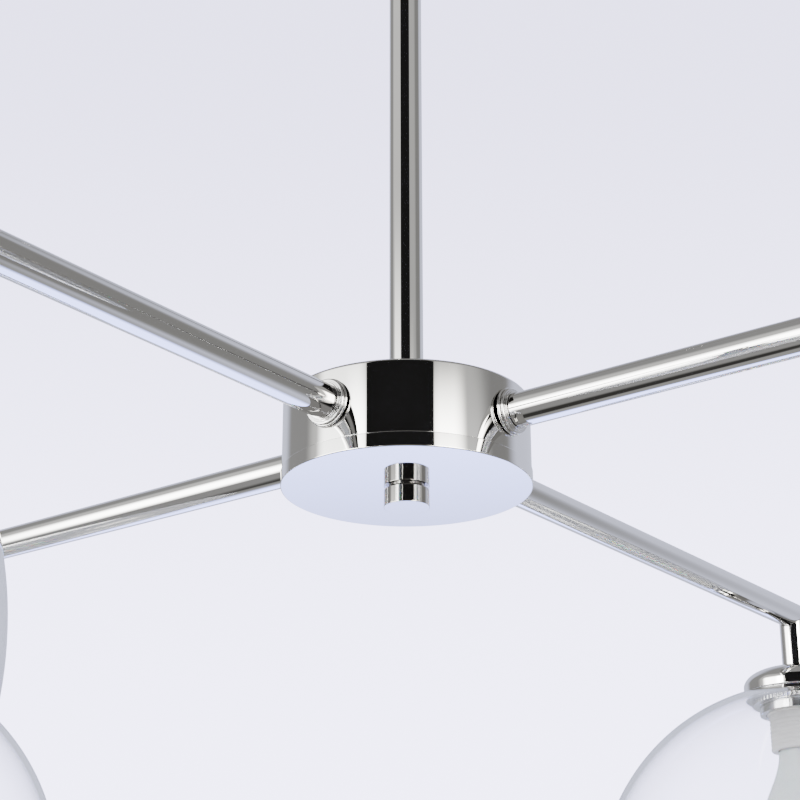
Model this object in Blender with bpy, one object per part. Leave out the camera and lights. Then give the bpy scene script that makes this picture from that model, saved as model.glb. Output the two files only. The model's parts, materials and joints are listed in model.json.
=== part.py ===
"""Four arm chandelier with glass shades, hanging from the ceiling plane at z = 0.

Every size is in metres. Heights under the ceiling are negative. The arms run along
+X, +Y, -X and -Y, and each arm's pieces are children of an empty that is turned
to that direction, so one set of measures serves all four arms.
"""

import math

import bmesh
import bpy

MM = 0.001
WELD = 0.001 * MM  # corners closer than this are one corner

# Gaps
CLEARANCE = 0.3 * MM  # between faces that rest on each other
SWIVEL_GAP = 0.3 * MM  # each side of the eye, between the ears of the yoke

# Ceiling strap
STRAP_LENGTH = 118 * MM
STRAP_WIDTH = 24 * MM
STRAP_THICKNESS = 3 * MM
STRAP_CORNER = 4 * MM
BOX_SCREW_SPACING = 88.9 * MM
BOX_SLOT_LENGTH = 12 * MM
BOX_SLOT_WIDTH = 5.5 * MM
BOX_SLOT_CORNER = 2.6 * MM

# Canopy
CANOPY_RADIUS = 65 * MM
CANOPY_DEPTH = 26 * MM
CANOPY_WALL = 1.2 * MM
CANOPY_CORNER = 4 * MM
PAN_INNER_CORNER = 0.3 * MM  # inside corner of a pan whose outer corner is no wider than its wall
CANOPY_RING_RADIUS = 11 * MM
CANOPY_RING_HEIGHT = 5 * MM
CANOPY_RING_EDGE = 0.8 * MM

# Swivel
SHANK_RADIUS = 5 * MM
LEAD_BORE = 3.4 * MM  # way for the lead through the swivel
YOKE_EAR = 4.3 * MM  # from the slot to the yoke's round outside
YOKE_WEB = 5 * MM
YOKE_ROOM = 3 * MM  # between the yoke's web and the round top of the eye
EAR_BELOW_PIVOT = 7.5 * MM
EYE_CHEEK = 0.46 * MM  # how far the eye's flat cheek stands out of the stem's round
EYE_NECK = 8 * MM  # between the pivot's round and the stem's end
PIVOT_SCREW_RADIUS = 2 * MM
PIVOT_HEAD_RADIUS = 3.8 * MM
PIVOT_HEAD_HEIGHT = 2.2 * MM
PIVOT_HEAD_CROWN = 0.6  # share of the head's radius and height where its crown starts

# Stem
STEM_RADIUS = 7.94 * MM
STEM_WALL = 1.2 * MM
STEM_UPPER_LENGTH = 305 * MM
STEM_LOWER_LENGTH = 305 * MM
PLUG_LENGTH = 14 * MM  # how far each screwed plug reaches into a tube
PLUG_WALL = 2.4 * MM
COUPLING_BEAD = 0.8 * MM  # how far the coupling's bead stands out of the stem
COUPLING_HEIGHT = 4 * MM

# Hub
HUB_RADIUS = 57 * MM
HUB_HEIGHT = 41 * MM  # from the lid's underside to the top face
HUB_WALL = 1.5 * MM
HUB_CORNER = 1.5 * MM
LID_PROUD = 0.5 * MM  # how far the lid's lower edge stands out of the drum
LID_RIM_HEIGHT = 6.6 * MM
LID_THICKNESS = 1.5 * MM
LID_LIP = 3 * MM  # the lip inside the drum above the seam
LID_LIP_WALL = 1.5 * MM
LID_EDGE = 0.5 * MM
ARM_HEIGHT = 24 * MM  # arm axis above the lid's underside
BRACKET_SPAN = 36 * MM
BRACKET_MARGIN = 3 * MM  # each side of the bracket's wide hole
BRACKET_THICKNESS = 2 * MM
BRACKET_ABOVE_LID = 8 * MM
LID_SCREW_RADIUS = 3 * MM
LID_SCREW_HEAD_RADIUS = 5 * MM
LID_SCREW_HEAD_HEIGHT = 3.5 * MM

# Finial
FINIAL_RADIUS = 10.5 * MM
FINIAL_HEIGHT = 8.9 * MM
FINIAL_NECK_HEIGHT = 0.6 * MM  # the narrow seat that rests on the lid
FINIAL_NECK_STEP = 1.2 * MM  # the seat's radius is this much under the finial's
FINIAL_BORE_DEPTH = 6.5 * MM
FINIAL_EDGE = 0.4 * MM
LID_SCREW_REACH = 5.8 * MM  # how far the lid screw stands out below the lid

# Nuts: each wall is from the bore to the middle of a flat
SWIVEL_NUT_WALL = 2.9 * MM
SWIVEL_NUT_HEIGHT = 5 * MM
HUB_NUT_WALL = 1.6 * MM
HUB_NUT_HEIGHT = 5 * MM
NIPPLE_PAST_NUT = 1.5 * MM
ARM_NUT_WALL = 1.4 * MM
ARM_NUT_HEIGHT = 4 * MM

# Arms
ARM_COUNT = 4
ARM_REACH = 440 * MM  # from the hub's axis to the end of the tube
ARM_RADIUS = 7.94 * MM
ARM_WALL = 1.2 * MM
SPIGOT_RADIUS = 5 * MM
SPIGOT_BORE = 3.2 * MM
SPIGOT_PAST_NUT = 2 * MM
COLLAR_RADIUS = 11 * MM
COLLAR_BEAD_WIDTH = 1.25 * MM
COLLAR_BEAD_STEP = 0.5 * MM  # each bead is this much smaller than the last
COLLAR_GROOVE_WIDTH = 0.4 * MM
COLLAR_GROOVE_DEPTH = 1.2 * MM
COLLAR_NECK_WIDTH = 0.5 * MM
COLLAR_NECK_PROUD = 0.7 * MM  # the neck's radius over the tube's
CAP_RADIUS = 9 * MM
CAP_LENGTH = 7 * MM
CAP_EDGE = 0.8 * MM

# Drops
DROP_REACH = 395 * MM  # from the hub's axis to the drop's axis
DROP_RADIUS = 7.94 * MM
DROP_WALL = 1.2 * MM
DROP_LENGTH = 33 * MM  # from the arm's axis to the drop's lower end
DROP_HOLE_RADIUS = 4 * MM  # way for the lead, in the arm's underside

# Shade cup
CUP_TOP_RADIUS = 10.5 * MM
CUP_MARGIN = 4 * MM  # how far the cup, and the shade's flat land under it, pass the shade ring
CUP_DOME_HEIGHT = 11 * MM
CUP_SKIRT_HEIGHT = 4 * MM
CUP_WALL = 1.5 * MM

# Lampholder
HOLDER_SHOULDER_RADIUS = 9 * MM
HOLDER_SHOULDER_HEIGHT = 3 * MM
HOLDER_RADIUS = 19.5 * MM
HOLDER_LENGTH = 48 * MM  # from its shoulder to its mouth
HOLDER_MOUTH_WALL = 4 * MM
LAMP_BASE_RADIUS = 13.1 * MM  # E26 screw base
LAMP_BASE_LENGTH = 25 * MM

# Glass shade
SHADE_RADIUS = 125 * MM
SHADE_MOUTH_RADIUS = 80 * MM
GLASS_THICKNESS = 3 * MM
SHADE_HOLE_GAP = 0.5 * MM  # more room round the lampholder than a metal piece needs

# Shade ring
RING_FLANGE_STEP = 4.5 * MM  # how far the flange stands out of the sleeve
RING_FLANGE_HEIGHT = 3 * MM
RING_SLEEVE_WALL = 3.2 * MM
RING_SLEEVE_HEIGHT = 6 * MM

# Bulb
BULB_RADIUS = 30 * MM
BULB_NECK_RADIUS = 14 * MM
BULB_LENGTH = 83 * MM  # below the lampholder's mouth
BULB_GLASS = 1 * MM
BULB_TIP_RADIUS = 6 * MM
BULB_VENT_RADIUS = 2 * MM
BULB_SHOULDER_ANGLE = 20  # degrees, where the neck meets the globe
BULB_END_ANGLE = -70  # degrees, the last corner before the globe's end

# Leads
LEAD_RADIUS = 2.4 * MM
BRANCH_RADIUS = 1.5 * MM
SPLICE_RADIUS = 7.5 * MM
SPLICE_HEIGHT = 9 * MM
LEAD_BEND = 5 * MM
LEAD_BEND_START = 60  # degrees, where the branch starts to turn down

# Sides of the round pieces
TUBE_SIDES = 16
DRUM_SIDES = 36
TURNED_SIDES = 14
SMALL_SIDES = 10
SHADE_SIDES = 20
CORNER_STEPS = 2  # straight steps in a small rounded corner
BEND_STEPS = 3  # in a wider bend
SHADE_STEPS = 5  # in the shade's profile
SMOOTH_ANGLE = math.radians(32)


def clear_of(radius, sides):
    """Corner radius of a faceted bore whose flats clear a shaft of this radius."""
    return (radius + CLEARANCE) / math.cos(math.pi / sides)


# Places that follow from the sizes above
CANOPY_BOTTOM = -CANOPY_DEPTH
RING_TOP = CANOPY_BOTTOM - CLEARANCE
YOKE_TOP = RING_TOP - CANOPY_RING_HEIGHT - CLEARANCE
YOKE_WEB_BOTTOM = YOKE_TOP - YOKE_WEB
EYE_RADIUS = STEM_RADIUS
EYE_HALF_WIDTH = STEM_RADIUS + EYE_CHEEK
YOKE_RADIUS = EYE_HALF_WIDTH + SWIVEL_GAP + YOKE_EAR
PIVOT_Z = YOKE_WEB_BOTTOM - YOKE_ROOM - EYE_RADIUS
STEM_BORE = STEM_RADIUS - STEM_WALL
TUBE_FLAT = math.cos(math.pi / TUBE_SIDES)  # a tube's bore at its flats, over its corners
PLUG_RADIUS = STEM_BORE * TUBE_FLAT - CLEARANCE
PLUG_BORE = PLUG_RADIUS - PLUG_WALL
STEM_TOP = PIVOT_Z - EYE_RADIUS - EYE_NECK - CLEARANCE
COUPLING_TOP = STEM_TOP - STEM_UPPER_LENGTH - CLEARANCE
STEM_LOWER_TOP = COUPLING_TOP - COUPLING_HEIGHT - CLEARANCE
HUB_TOP = STEM_LOWER_TOP - STEM_LOWER_LENGTH - CLEARANCE
HUB_BOTTOM = HUB_TOP - HUB_HEIGHT
HUB_BORE = HUB_RADIUS - HUB_WALL
BRACKET_TOP = HUB_TOP - HUB_WALL - CLEARANCE
BRACKET_BOTTOM = HUB_BOTTOM + BRACKET_ABOVE_LID
HUB_NUT_TOP = BRACKET_TOP - BRACKET_THICKNESS - CLEARANCE
COLLAR_BACK = HUB_RADIUS + CLEARANCE
ARM_BORE = ARM_RADIUS - ARM_WALL
DROP_BORE = DROP_RADIUS - DROP_WALL
HOLDER_NECK_RADIUS = DROP_BORE * TUBE_FLAT - CLEARANCE
RING_BORE = clear_of(HOLDER_RADIUS, TURNED_SIDES)
RING_SLEEVE_RADIUS = RING_BORE + RING_SLEEVE_WALL
RING_FLANGE_RADIUS = RING_SLEEVE_RADIUS + RING_FLANGE_STEP
CUP_RADIUS = RING_FLANGE_RADIUS + CUP_MARGIN
DROP_BOTTOM = -DROP_LENGTH  # heights from here on are from the arm's axis
CUP_TOP = DROP_BOTTOM - CLEARANCE
HOLDER_TOP = CUP_TOP - CUP_WALL - CLEARANCE
HOLDER_MOUTH = HOLDER_TOP - HOLDER_LENGTH
SHADE_TOP = CUP_TOP - CUP_DOME_HEIGHT - CUP_SKIRT_HEIGHT - CLEARANCE
SHADE_CENTRE = SHADE_TOP - math.sqrt(SHADE_RADIUS**2 - CUP_RADIUS**2)
SHADE_RING_TOP = SHADE_TOP - GLASS_THICKNESS - CLEARANCE
LAMP_BASE_TOP = HOLDER_MOUTH + LAMP_BASE_LENGTH
BULB_BOTTOM = HOLDER_MOUTH - BULB_LENGTH

MATERIALS = {
    "polished_nickel": ((0.72, 0.71, 0.69, 1.0), 0.06, 1.0),
    "zinc_steel": ((0.60, 0.61, 0.63, 1.0), 0.35, 1.0),
    "clear_glass": ((0.93, 0.96, 0.98, 1.0), 0.02, 0.0),
    "bulb_glass": ((0.96, 0.95, 0.92, 1.0), 0.05, 0.0),
    "white_phenolic": ((0.86, 0.85, 0.82, 1.0), 0.40, 0.0),
    "lead_insulation": ((0.80, 0.80, 0.78, 1.0), 0.50, 0.0),
}


def clear_scene():
    for obj in list(bpy.data.objects):
        bpy.data.objects.remove(obj)


def make_material(name):
    colour, roughness, metallic = MATERIALS[name]
    material = bpy.data.materials.new(name)
    material.use_nodes = True
    shader = material.node_tree.nodes["Principled BSDF"]
    shader.inputs["Base Color"].default_value = colour
    shader.inputs["Roughness"].default_value = roughness
    shader.inputs["Metallic"].default_value = metallic
    material.diffuse_color = colour
    return material


def new_object(name, bm):
    """Turn a bmesh into a linked object with outward faces."""
    bmesh.ops.recalc_face_normals(bm, faces=bm.faces)
    mesh = bpy.data.meshes.new(name)
    bm.to_mesh(mesh)
    bm.free()
    obj = bpy.data.objects.new(name, mesh)
    bpy.context.scene.collection.objects.link(obj)
    return obj


def arc(centre, radius, start, end, steps):
    """Points of (radius, height) on an arc, with angles in degrees from the outward axis."""
    points = []
    for step in range(steps + 1):
        angle = math.radians(start + (end - start) * step / steps)
        points.append((centre[0] + radius * math.cos(angle), centre[1] + radius * math.sin(angle)))
    return points


def lathe(name, outline, sides):
    """Spin a closed outline of (radius, height) points round Z into one solid."""
    bm = bmesh.new()
    corners = [bm.verts.new((radius, 0.0, height)) for radius, height in outline]
    edges = []
    for first, second in zip(corners, corners[1:] + corners[:1]):
        if first.co.x > 0.0 or second.co.x > 0.0:
            edges.append(bm.edges.new((first, second)))
    bmesh.ops.spin(
        bm, geom=corners + edges, cent=(0, 0, 0), axis=(0, 0, 1),
        angle=2 * math.pi, steps=sides, use_merge=True,
    )
    bmesh.ops.remove_doubles(bm, verts=bm.verts, dist=WELD)
    return new_object(name, bm)


def tube_outline(outer, inner, low, high):
    return [(inner, low), (outer, low), (outer, high), (inner, high)]


def rod(name, radius, low, high, sides=SMALL_SIDES):
    return lathe(name, [(0, low), (radius, low), (radius, high), (0, high)], sides)


def plate(name, outline, low, high):
    """Extrude a closed outline of (x, y) points from one height to another."""
    bm = bmesh.new()
    base = bm.faces.new([bm.verts.new((x, y, low)) for x, y in outline])
    raised = bmesh.ops.extrude_face_region(bm, geom=[base])["geom"]
    tops = [item for item in raised if isinstance(item, bmesh.types.BMVert)]
    bmesh.ops.translate(bm, verts=tops, vec=(0, 0, high - low))
    return new_object(name, bm)


def rounded_bar(length, width, corner, steps):
    """An outline of a bar with round corners, centred on the origin."""
    x, y = length / 2 - corner, width / 2 - corner
    points = []
    for turn, (sign_x, sign_y) in enumerate([(1, 1), (-1, 1), (-1, -1), (1, -1)]):
        points += arc((sign_x * x, sign_y * y), corner, turn * 90, turn * 90 + 90, steps)
    return points


def block(name, size, centre):
    half_x, half_y, half_z = (side / 2 for side in size)
    outline = [(-half_x, -half_y), (half_x, -half_y), (half_x, half_y), (-half_x, half_y)]
    shifted = [(x + centre[0], y + centre[1]) for x, y in outline]
    return plate(name, shifted, centre[2] - half_z, centre[2] + half_z)


def carve(body, tools, operation="DIFFERENCE"):
    """Apply Boolean tools to a body for good, and delete the tools."""
    for tool in tools:
        step = body.modifiers.new(tool.name, "BOOLEAN")
        step.operation = operation
        step.solver = "EXACT"
        step.object = tool
    bpy.context.view_layer.update()
    graph = bpy.context.evaluated_depsgraph_get()
    mesh = bpy.data.meshes.new_from_object(body.evaluated_get(graph))
    body.modifiers.clear()
    body.data = mesh
    for tool in tools:
        bpy.data.objects.remove(tool)
    return body


def turned(obj, location=(0, 0, 0), rotation=(0, 0, 0)):
    obj.location = location
    obj.rotation_euler = rotation
    return obj


def finish(obj, material, parent):
    """Give a piece its material and parent, and shade its round faces smooth."""
    obj.parent = parent
    if not obj.data.materials:
        obj.data.materials.append(material)
    obj.data.shade_smooth()
    obj.data.set_sharp_from_angle(angle=SMOOTH_ANGLE)
    return obj


def frame_empty(name, location, parent=None, turn=0.0):
    empty = bpy.data.objects.new(name, None)
    empty.location = location
    empty.rotation_euler = (0, 0, turn)
    empty.parent = parent
    bpy.context.scene.collection.objects.link(empty)
    return empty


def copy_of(obj, name):
    twin = bpy.data.objects.new(name, obj.data)
    twin.location = obj.location
    twin.rotation_euler = obj.rotation_euler
    bpy.context.scene.collection.objects.link(twin)
    return twin


ALONG_X = (0, math.pi / 2, 0)  # turns a piece made along Z so that it runs along X


def nut_corner(shaft, wall):
    """Corner radius of a hexagon nut with this wall outside the bore for its shaft."""
    return 2 * (clear_of(shaft, SMALL_SIDES) + wall) / math.sqrt(3)


def hex_nut(name, shaft, wall, height):
    """A hexagon nut from z = 0 down, clear of a shaft of this radius."""
    nut = plate(name, arc((0, 0), nut_corner(shaft, wall), 0, 300, 5), -height, 0)
    return carve(nut, [rod("nut_bore", clear_of(shaft, SMALL_SIDES), -2 * height, height)])


def pan_outline(radius, depth, wall, corner, hole):
    """A round pan, open at z = 0, with its floor at -depth and a hole in the floor."""
    inner_corner = max(corner - wall, PAN_INNER_CORNER)
    inner = radius - wall
    floor = wall - depth
    outline = [(radius, 0)]
    outline += arc((radius - corner, corner - depth), corner, 0, -90, CORNER_STEPS)
    outline += [(hole, -depth), (hole, floor)]
    outline += arc((inner - inner_corner, floor + inner_corner), inner_corner, -90, 0, CORNER_STEPS)
    outline += [(inner, 0)]
    return outline


# Ceiling pieces


def mounting_strap():
    bar = plate(
        "mounting_strap", rounded_bar(STRAP_LENGTH, STRAP_WIDTH, STRAP_CORNER, BEND_STEPS),
        -STRAP_THICKNESS, 0,
    )
    bore = clear_of(SHANK_RADIUS, SMALL_SIDES)
    tools = [rod("strap_bore", bore, -2 * STRAP_THICKNESS, STRAP_THICKNESS)]
    for side in (-1, 1):
        slot = plate(
            "strap_slot", rounded_bar(BOX_SLOT_LENGTH, BOX_SLOT_WIDTH, BOX_SLOT_CORNER, BEND_STEPS),
            -2 * STRAP_THICKNESS, STRAP_THICKNESS,
        )
        tools.append(turned(slot, (side * BOX_SCREW_SPACING / 2, 0, 0)))
    return carve(bar, tools)


def canopy():
    hole = clear_of(SHANK_RADIUS, DRUM_SIDES)
    outline = pan_outline(CANOPY_RADIUS, CANOPY_DEPTH, CANOPY_WALL, CANOPY_CORNER, hole)
    return lathe("canopy", outline, DRUM_SIDES)


def canopy_ring():
    bore = clear_of(SHANK_RADIUS, TURNED_SIDES)
    edge = CANOPY_RING_EDGE
    outline = [
        (bore, 0), (CANOPY_RING_RADIUS, 0), (CANOPY_RING_RADIUS, edge - CANOPY_RING_HEIGHT),
        (CANOPY_RING_RADIUS - edge, -CANOPY_RING_HEIGHT), (bore, -CANOPY_RING_HEIGHT),
    ]
    return turned(lathe("canopy_ring", outline, TURNED_SIDES), (0, 0, RING_TOP))


def swivel_nut():
    nut = hex_nut("swivel_nut", SHANK_RADIUS, SWIVEL_NUT_WALL, SWIVEL_NUT_HEIGHT)
    return turned(nut, (0, 0, -STRAP_THICKNESS - CLEARANCE))


# Swivel, made about the pivot as its origin


def swivel_yoke():
    top = -CLEARANCE - PIVOT_Z
    head_top = YOKE_TOP - PIVOT_Z
    head_bottom = -EAR_BELOW_PIVOT
    outline = [
        (LEAD_BORE, head_bottom), (YOKE_RADIUS, head_bottom), (YOKE_RADIUS, head_top),
        (SHANK_RADIUS, head_top), (SHANK_RADIUS, top), (LEAD_BORE, top),
    ]
    yoke = lathe("swivel_yoke", outline, TURNED_SIDES)
    slot_top = YOKE_WEB_BOTTOM - PIVOT_Z
    slot_height = slot_top - 2 * head_bottom
    gap = 2 * (EYE_HALF_WIDTH + SWIVEL_GAP)
    slot = block("yoke_slot", (gap, 3 * YOKE_RADIUS, slot_height), (0, 0, slot_top - slot_height / 2))
    hole_radius = clear_of(PIVOT_SCREW_RADIUS, SMALL_SIDES)
    holes = turned(rod("yoke_holes", hole_radius, -2 * YOKE_RADIUS, 2 * YOKE_RADIUS), rotation=ALONG_X)
    return carve(yoke, [slot, holes])


def swivel_screw(name):
    """A pan head screw along Z: its head's underside is at z = 0, and its shank points down."""
    shank_end = PLUG_BORE + 2 * CLEARANCE - YOKE_RADIUS - CLEARANCE
    outline = [
        (0, shank_end), (PIVOT_SCREW_RADIUS, shank_end), (PIVOT_SCREW_RADIUS, 0), (PIVOT_HEAD_RADIUS, 0),
        (PIVOT_HEAD_RADIUS, PIVOT_HEAD_HEIGHT * PIVOT_HEAD_CROWN),
        (PIVOT_HEAD_RADIUS * PIVOT_HEAD_CROWN, PIVOT_HEAD_HEIGHT), (0, PIVOT_HEAD_HEIGHT),
    ]
    return lathe(name, outline, SMALL_SIDES)


def swivel_eye():
    shoulder = -EYE_RADIUS - EYE_NECK
    end = shoulder - CLEARANCE - PLUG_LENGTH
    outline = [
        (0, end), (PLUG_RADIUS, end), (PLUG_RADIUS, shoulder), (STEM_RADIUS, shoulder), (STEM_RADIUS, 0),
        (0, 0),
    ]
    neck = lathe("swivel_eye", outline, TUBE_SIDES)
    barrel = rod("eye_barrel", EYE_RADIUS, -EYE_HALF_WIDTH, EYE_HALF_WIDTH, TUBE_SIDES)
    carve(neck, [turned(barrel, rotation=ALONG_X)], "UNION")
    bore = rod("eye_bore", PLUG_BORE, 2 * end, 2 * EYE_RADIUS)
    hole_radius = clear_of(PIVOT_SCREW_RADIUS, SMALL_SIDES)
    holes = turned(rod("eye_holes", hole_radius, -2 * YOKE_RADIUS, 2 * YOKE_RADIUS), rotation=ALONG_X)
    return carve(neck, [bore, holes])


# Stem


def stem_tube(name, top, length):
    return turned(lathe(name, tube_outline(STEM_RADIUS, STEM_BORE, -length, 0), TUBE_SIDES), (0, 0, top))


def stem_coupling():
    bead = STEM_RADIUS + COUPLING_BEAD
    edge = COUPLING_BEAD
    outline = [
        (PLUG_BORE, PLUG_LENGTH), (PLUG_BORE, -COUPLING_HEIGHT - PLUG_LENGTH),
        (PLUG_RADIUS, -COUPLING_HEIGHT - PLUG_LENGTH), (PLUG_RADIUS, -COUPLING_HEIGHT),
        (bead - edge, -COUPLING_HEIGHT), (bead, edge - COUPLING_HEIGHT), (bead, -edge),
        (bead - edge, 0), (PLUG_RADIUS, 0), (PLUG_RADIUS, PLUG_LENGTH),
    ]
    return turned(lathe("stem_coupling", outline, TURNED_SIDES), (0, 0, COUPLING_TOP))


# Hub, made about the middle of the lid's underside as its origin


def hub_body():
    drum_height = HUB_HEIGHT - LID_RIM_HEIGHT - CLEARANCE
    hole = clear_of(PLUG_RADIUS, DRUM_SIDES)
    outline = pan_outline(HUB_RADIUS, drum_height, HUB_WALL, HUB_CORNER, hole)
    flipped = [(radius, HUB_HEIGHT - drum_height - height) for radius, height in outline]
    drum = lathe("hub_body", flipped, DRUM_SIDES)
    tools = []
    for index in range(ARM_COUNT):
        hole = rod("arm_hole", clear_of(SPIGOT_RADIUS, SMALL_SIDES), HUB_RADIUS / 2, 2 * HUB_RADIUS)
        turn = index * 2 * math.pi / ARM_COUNT
        tools.append(turned(hole, (0, 0, ARM_HEIGHT), (0, math.pi / 2, turn)))
    return carve(drum, tools)


def hub_lid():
    radius = HUB_RADIUS + LID_PROUD
    lip = HUB_BORE * math.cos(math.pi / DRUM_SIDES) - CLEARANCE
    lip_bore = lip - LID_LIP_WALL
    lip_top = LID_RIM_HEIGHT + CLEARANCE + LID_LIP
    hole = clear_of(LID_SCREW_RADIUS, DRUM_SIDES)
    outline = [
        (hole, 0), (radius - LID_EDGE, 0), (radius, LID_EDGE), (HUB_RADIUS + LID_PROUD / 2, LID_RIM_HEIGHT),
        (lip, LID_RIM_HEIGHT), (lip, lip_top), (lip_bore, lip_top), (lip_bore, LID_THICKNESS),
        (hole, LID_THICKNESS),
    ]
    return lathe("hub_lid", outline, DRUM_SIDES)


def stem_nipple():
    top = HUB_HEIGHT + CLEARANCE + PLUG_LENGTH
    bottom = HUB_NUT_TOP - HUB_BOTTOM - HUB_NUT_HEIGHT - NIPPLE_PAST_NUT
    return lathe("stem_nipple", tube_outline(PLUG_RADIUS, PLUG_BORE, bottom, top), TUBE_SIDES)


def hub_nut():
    nut = hex_nut("hub_nut", PLUG_RADIUS, HUB_NUT_WALL, HUB_NUT_HEIGHT)
    return turned(nut, (0, 0, HUB_NUT_TOP - HUB_BOTTOM))


def hub_bracket():
    """A closed strap loop: the stem's nut holds its top web, and the lid screw its bottom web."""
    height = BRACKET_TOP - BRACKET_BOTTOM
    middle = (BRACKET_TOP + BRACKET_BOTTOM) / 2 - HUB_BOTTOM
    wide_hole = clear_of(PLUG_RADIUS, SMALL_SIDES)
    width = 2 * (wide_hole + BRACKET_MARGIN)
    loop = block("hub_bracket", (BRACKET_SPAN, width, height), (0, 0, middle))
    inside = block(
        "bracket_inside",
        (BRACKET_SPAN - 2 * BRACKET_THICKNESS, 2 * width, height - 2 * BRACKET_THICKNESS),
        (0, 0, middle),
    )
    nipple_hole = rod("bracket_top_hole", wide_hole, middle, middle + height)
    screw_hole = rod("bracket_low_hole", clear_of(LID_SCREW_RADIUS, SMALL_SIDES), middle - height, middle)
    carve(loop, [inside, nipple_hole, screw_hole])
    return turned(loop, rotation=(0, 0, math.pi / ARM_COUNT))


def lid_screw():
    head_bottom = BRACKET_BOTTOM + BRACKET_THICKNESS + CLEARANCE - HUB_BOTTOM
    head_top = head_bottom + LID_SCREW_HEAD_HEIGHT
    end = -LID_SCREW_REACH
    outline = [
        (0, end), (LID_SCREW_RADIUS, end), (LID_SCREW_RADIUS, head_bottom),
        (LID_SCREW_HEAD_RADIUS, head_bottom), (LID_SCREW_HEAD_RADIUS, head_top), (0, head_top),
    ]
    return lathe("lid_screw", outline, SMALL_SIDES)


def finial():
    bore = clear_of(LID_SCREW_RADIUS, TURNED_SIDES)
    neck = FINIAL_RADIUS - FINIAL_NECK_STEP
    outline = [
        (bore, 0), (neck, 0), (neck, -FINIAL_NECK_HEIGHT), (FINIAL_RADIUS, -FINIAL_NECK_HEIGHT),
        (FINIAL_RADIUS, FINIAL_EDGE - FINIAL_HEIGHT), (FINIAL_RADIUS - FINIAL_EDGE, -FINIAL_HEIGHT),
        (0, -FINIAL_HEIGHT), (0, -FINIAL_BORE_DEPTH), (bore, -FINIAL_BORE_DEPTH),
    ]
    return turned(lathe("finial", outline, TURNED_SIDES), (0, 0, -CLEARANCE))


# Arm pieces: heights in the outlines run along the arm, from the hub's axis


def arm_nut_face():
    """Where the flat nut meets the drum's round inner wall at its corners."""
    corner = nut_corner(SPIGOT_RADIUS, ARM_NUT_WALL)
    return math.sqrt((HUB_BORE * math.cos(math.pi / DRUM_SIDES)) ** 2 - corner**2) - CLEARANCE


def arm_nut():
    nut = hex_nut("arm_nut", SPIGOT_RADIUS, ARM_NUT_WALL, ARM_NUT_HEIGHT)
    return turned(nut, (arm_nut_face(), 0, 0), ALONG_X)


def collar_outline():
    """Spigot through the drum's wall, two beads, a neck, and the plug that the tube sits on."""
    spigot_end = arm_nut_face() - ARM_NUT_HEIGHT - SPIGOT_PAST_NUT
    outline = [(SPIGOT_BORE, spigot_end), (SPIGOT_RADIUS, spigot_end), (SPIGOT_RADIUS, COLLAR_BACK)]
    place = COLLAR_BACK
    for bead in range(2):
        radius = COLLAR_RADIUS - bead * COLLAR_BEAD_STEP
        bulge = COLLAR_BEAD_WIDTH / 2
        outline += arc((radius - bulge, place + bulge), bulge, -90, 90, CORNER_STEPS)
        place += COLLAR_BEAD_WIDTH
        groove = radius - COLLAR_GROOVE_DEPTH
        outline += [(groove, place), (groove, place + COLLAR_GROOVE_WIDTH)]
        place += COLLAR_GROOVE_WIDTH
    neck = ARM_RADIUS + COLLAR_NECK_PROUD
    outline += [(neck, place), (neck, place + COLLAR_NECK_WIDTH)]
    place += COLLAR_NECK_WIDTH
    plug = ARM_BORE * TUBE_FLAT - CLEARANCE
    outline += [(plug, place), (plug, place + PLUG_LENGTH), (SPIGOT_BORE, place + PLUG_LENGTH)]
    return outline, place


def arm_collar():
    outline, _ = collar_outline()
    return turned(lathe("arm_collar", outline, TURNED_SIDES), rotation=ALONG_X)


def arm_tube():
    _, neck_end = collar_outline()
    start = neck_end + CLEARANCE
    tube = lathe("arm", tube_outline(ARM_RADIUS, ARM_BORE, start, ARM_REACH), TUBE_SIDES)
    turned(tube, rotation=ALONG_X)
    hole = turned(rod("drop_hole", DROP_HOLE_RADIUS, -2 * ARM_RADIUS, 0), (DROP_REACH, 0, 0))
    bpy.context.view_layer.update()
    return carve(tube, [hole])


def arm_cap():
    plug = ARM_BORE * TUBE_FLAT - CLEARANCE
    face = ARM_REACH + CLEARANCE
    end = face + CAP_LENGTH
    outline = [
        (0, face - CAP_LENGTH), (plug, face - CAP_LENGTH), (plug, face), (CAP_RADIUS, face),
        (CAP_RADIUS, end - CAP_EDGE), (CAP_RADIUS - CAP_EDGE, end), (0, end),
    ]
    return turned(lathe("arm_cap", outline, TURNED_SIDES), rotation=ALONG_X)


def drop_tube():
    """A tube whose upper end is cut to the shape of the arm that it hangs from."""
    tube = lathe("drop", tube_outline(DROP_RADIUS, DROP_BORE, DROP_BOTTOM, 0), TUBE_SIDES)
    reach = 2 * DROP_RADIUS
    saddle = rod("saddle", ARM_RADIUS + CLEARANCE, -reach, reach, TUBE_SIDES)
    carve(tube, [turned(saddle, rotation=ALONG_X)])
    return turned(tube, (DROP_REACH, 0, 0))


def shade_cup():
    hole = clear_of(HOLDER_NECK_RADIUS, TURNED_SIDES)
    wide = CUP_RADIUS - CUP_TOP_RADIUS
    outer, inner = [], []
    for step in range(BEND_STEPS + 1):
        angle = math.pi / 2 * step / BEND_STEPS
        radius = CUP_TOP_RADIUS + wide * math.sin(angle)
        height = CUP_TOP - CUP_DOME_HEIGHT * (1 - math.cos(angle))
        outer.append((radius, height))
        inner.append((radius - CUP_WALL, height - CUP_WALL))
    skirt = SHADE_TOP + CLEARANCE
    outline = [(hole, CUP_TOP)] + outer + [(CUP_RADIUS, skirt), (CUP_RADIUS - CUP_WALL, skirt)]
    outline += inner[::-1] + [(hole, CUP_TOP - CUP_WALL)]
    return turned(lathe("shade_cup", outline, TURNED_SIDES), (DROP_REACH, 0, 0))


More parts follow.
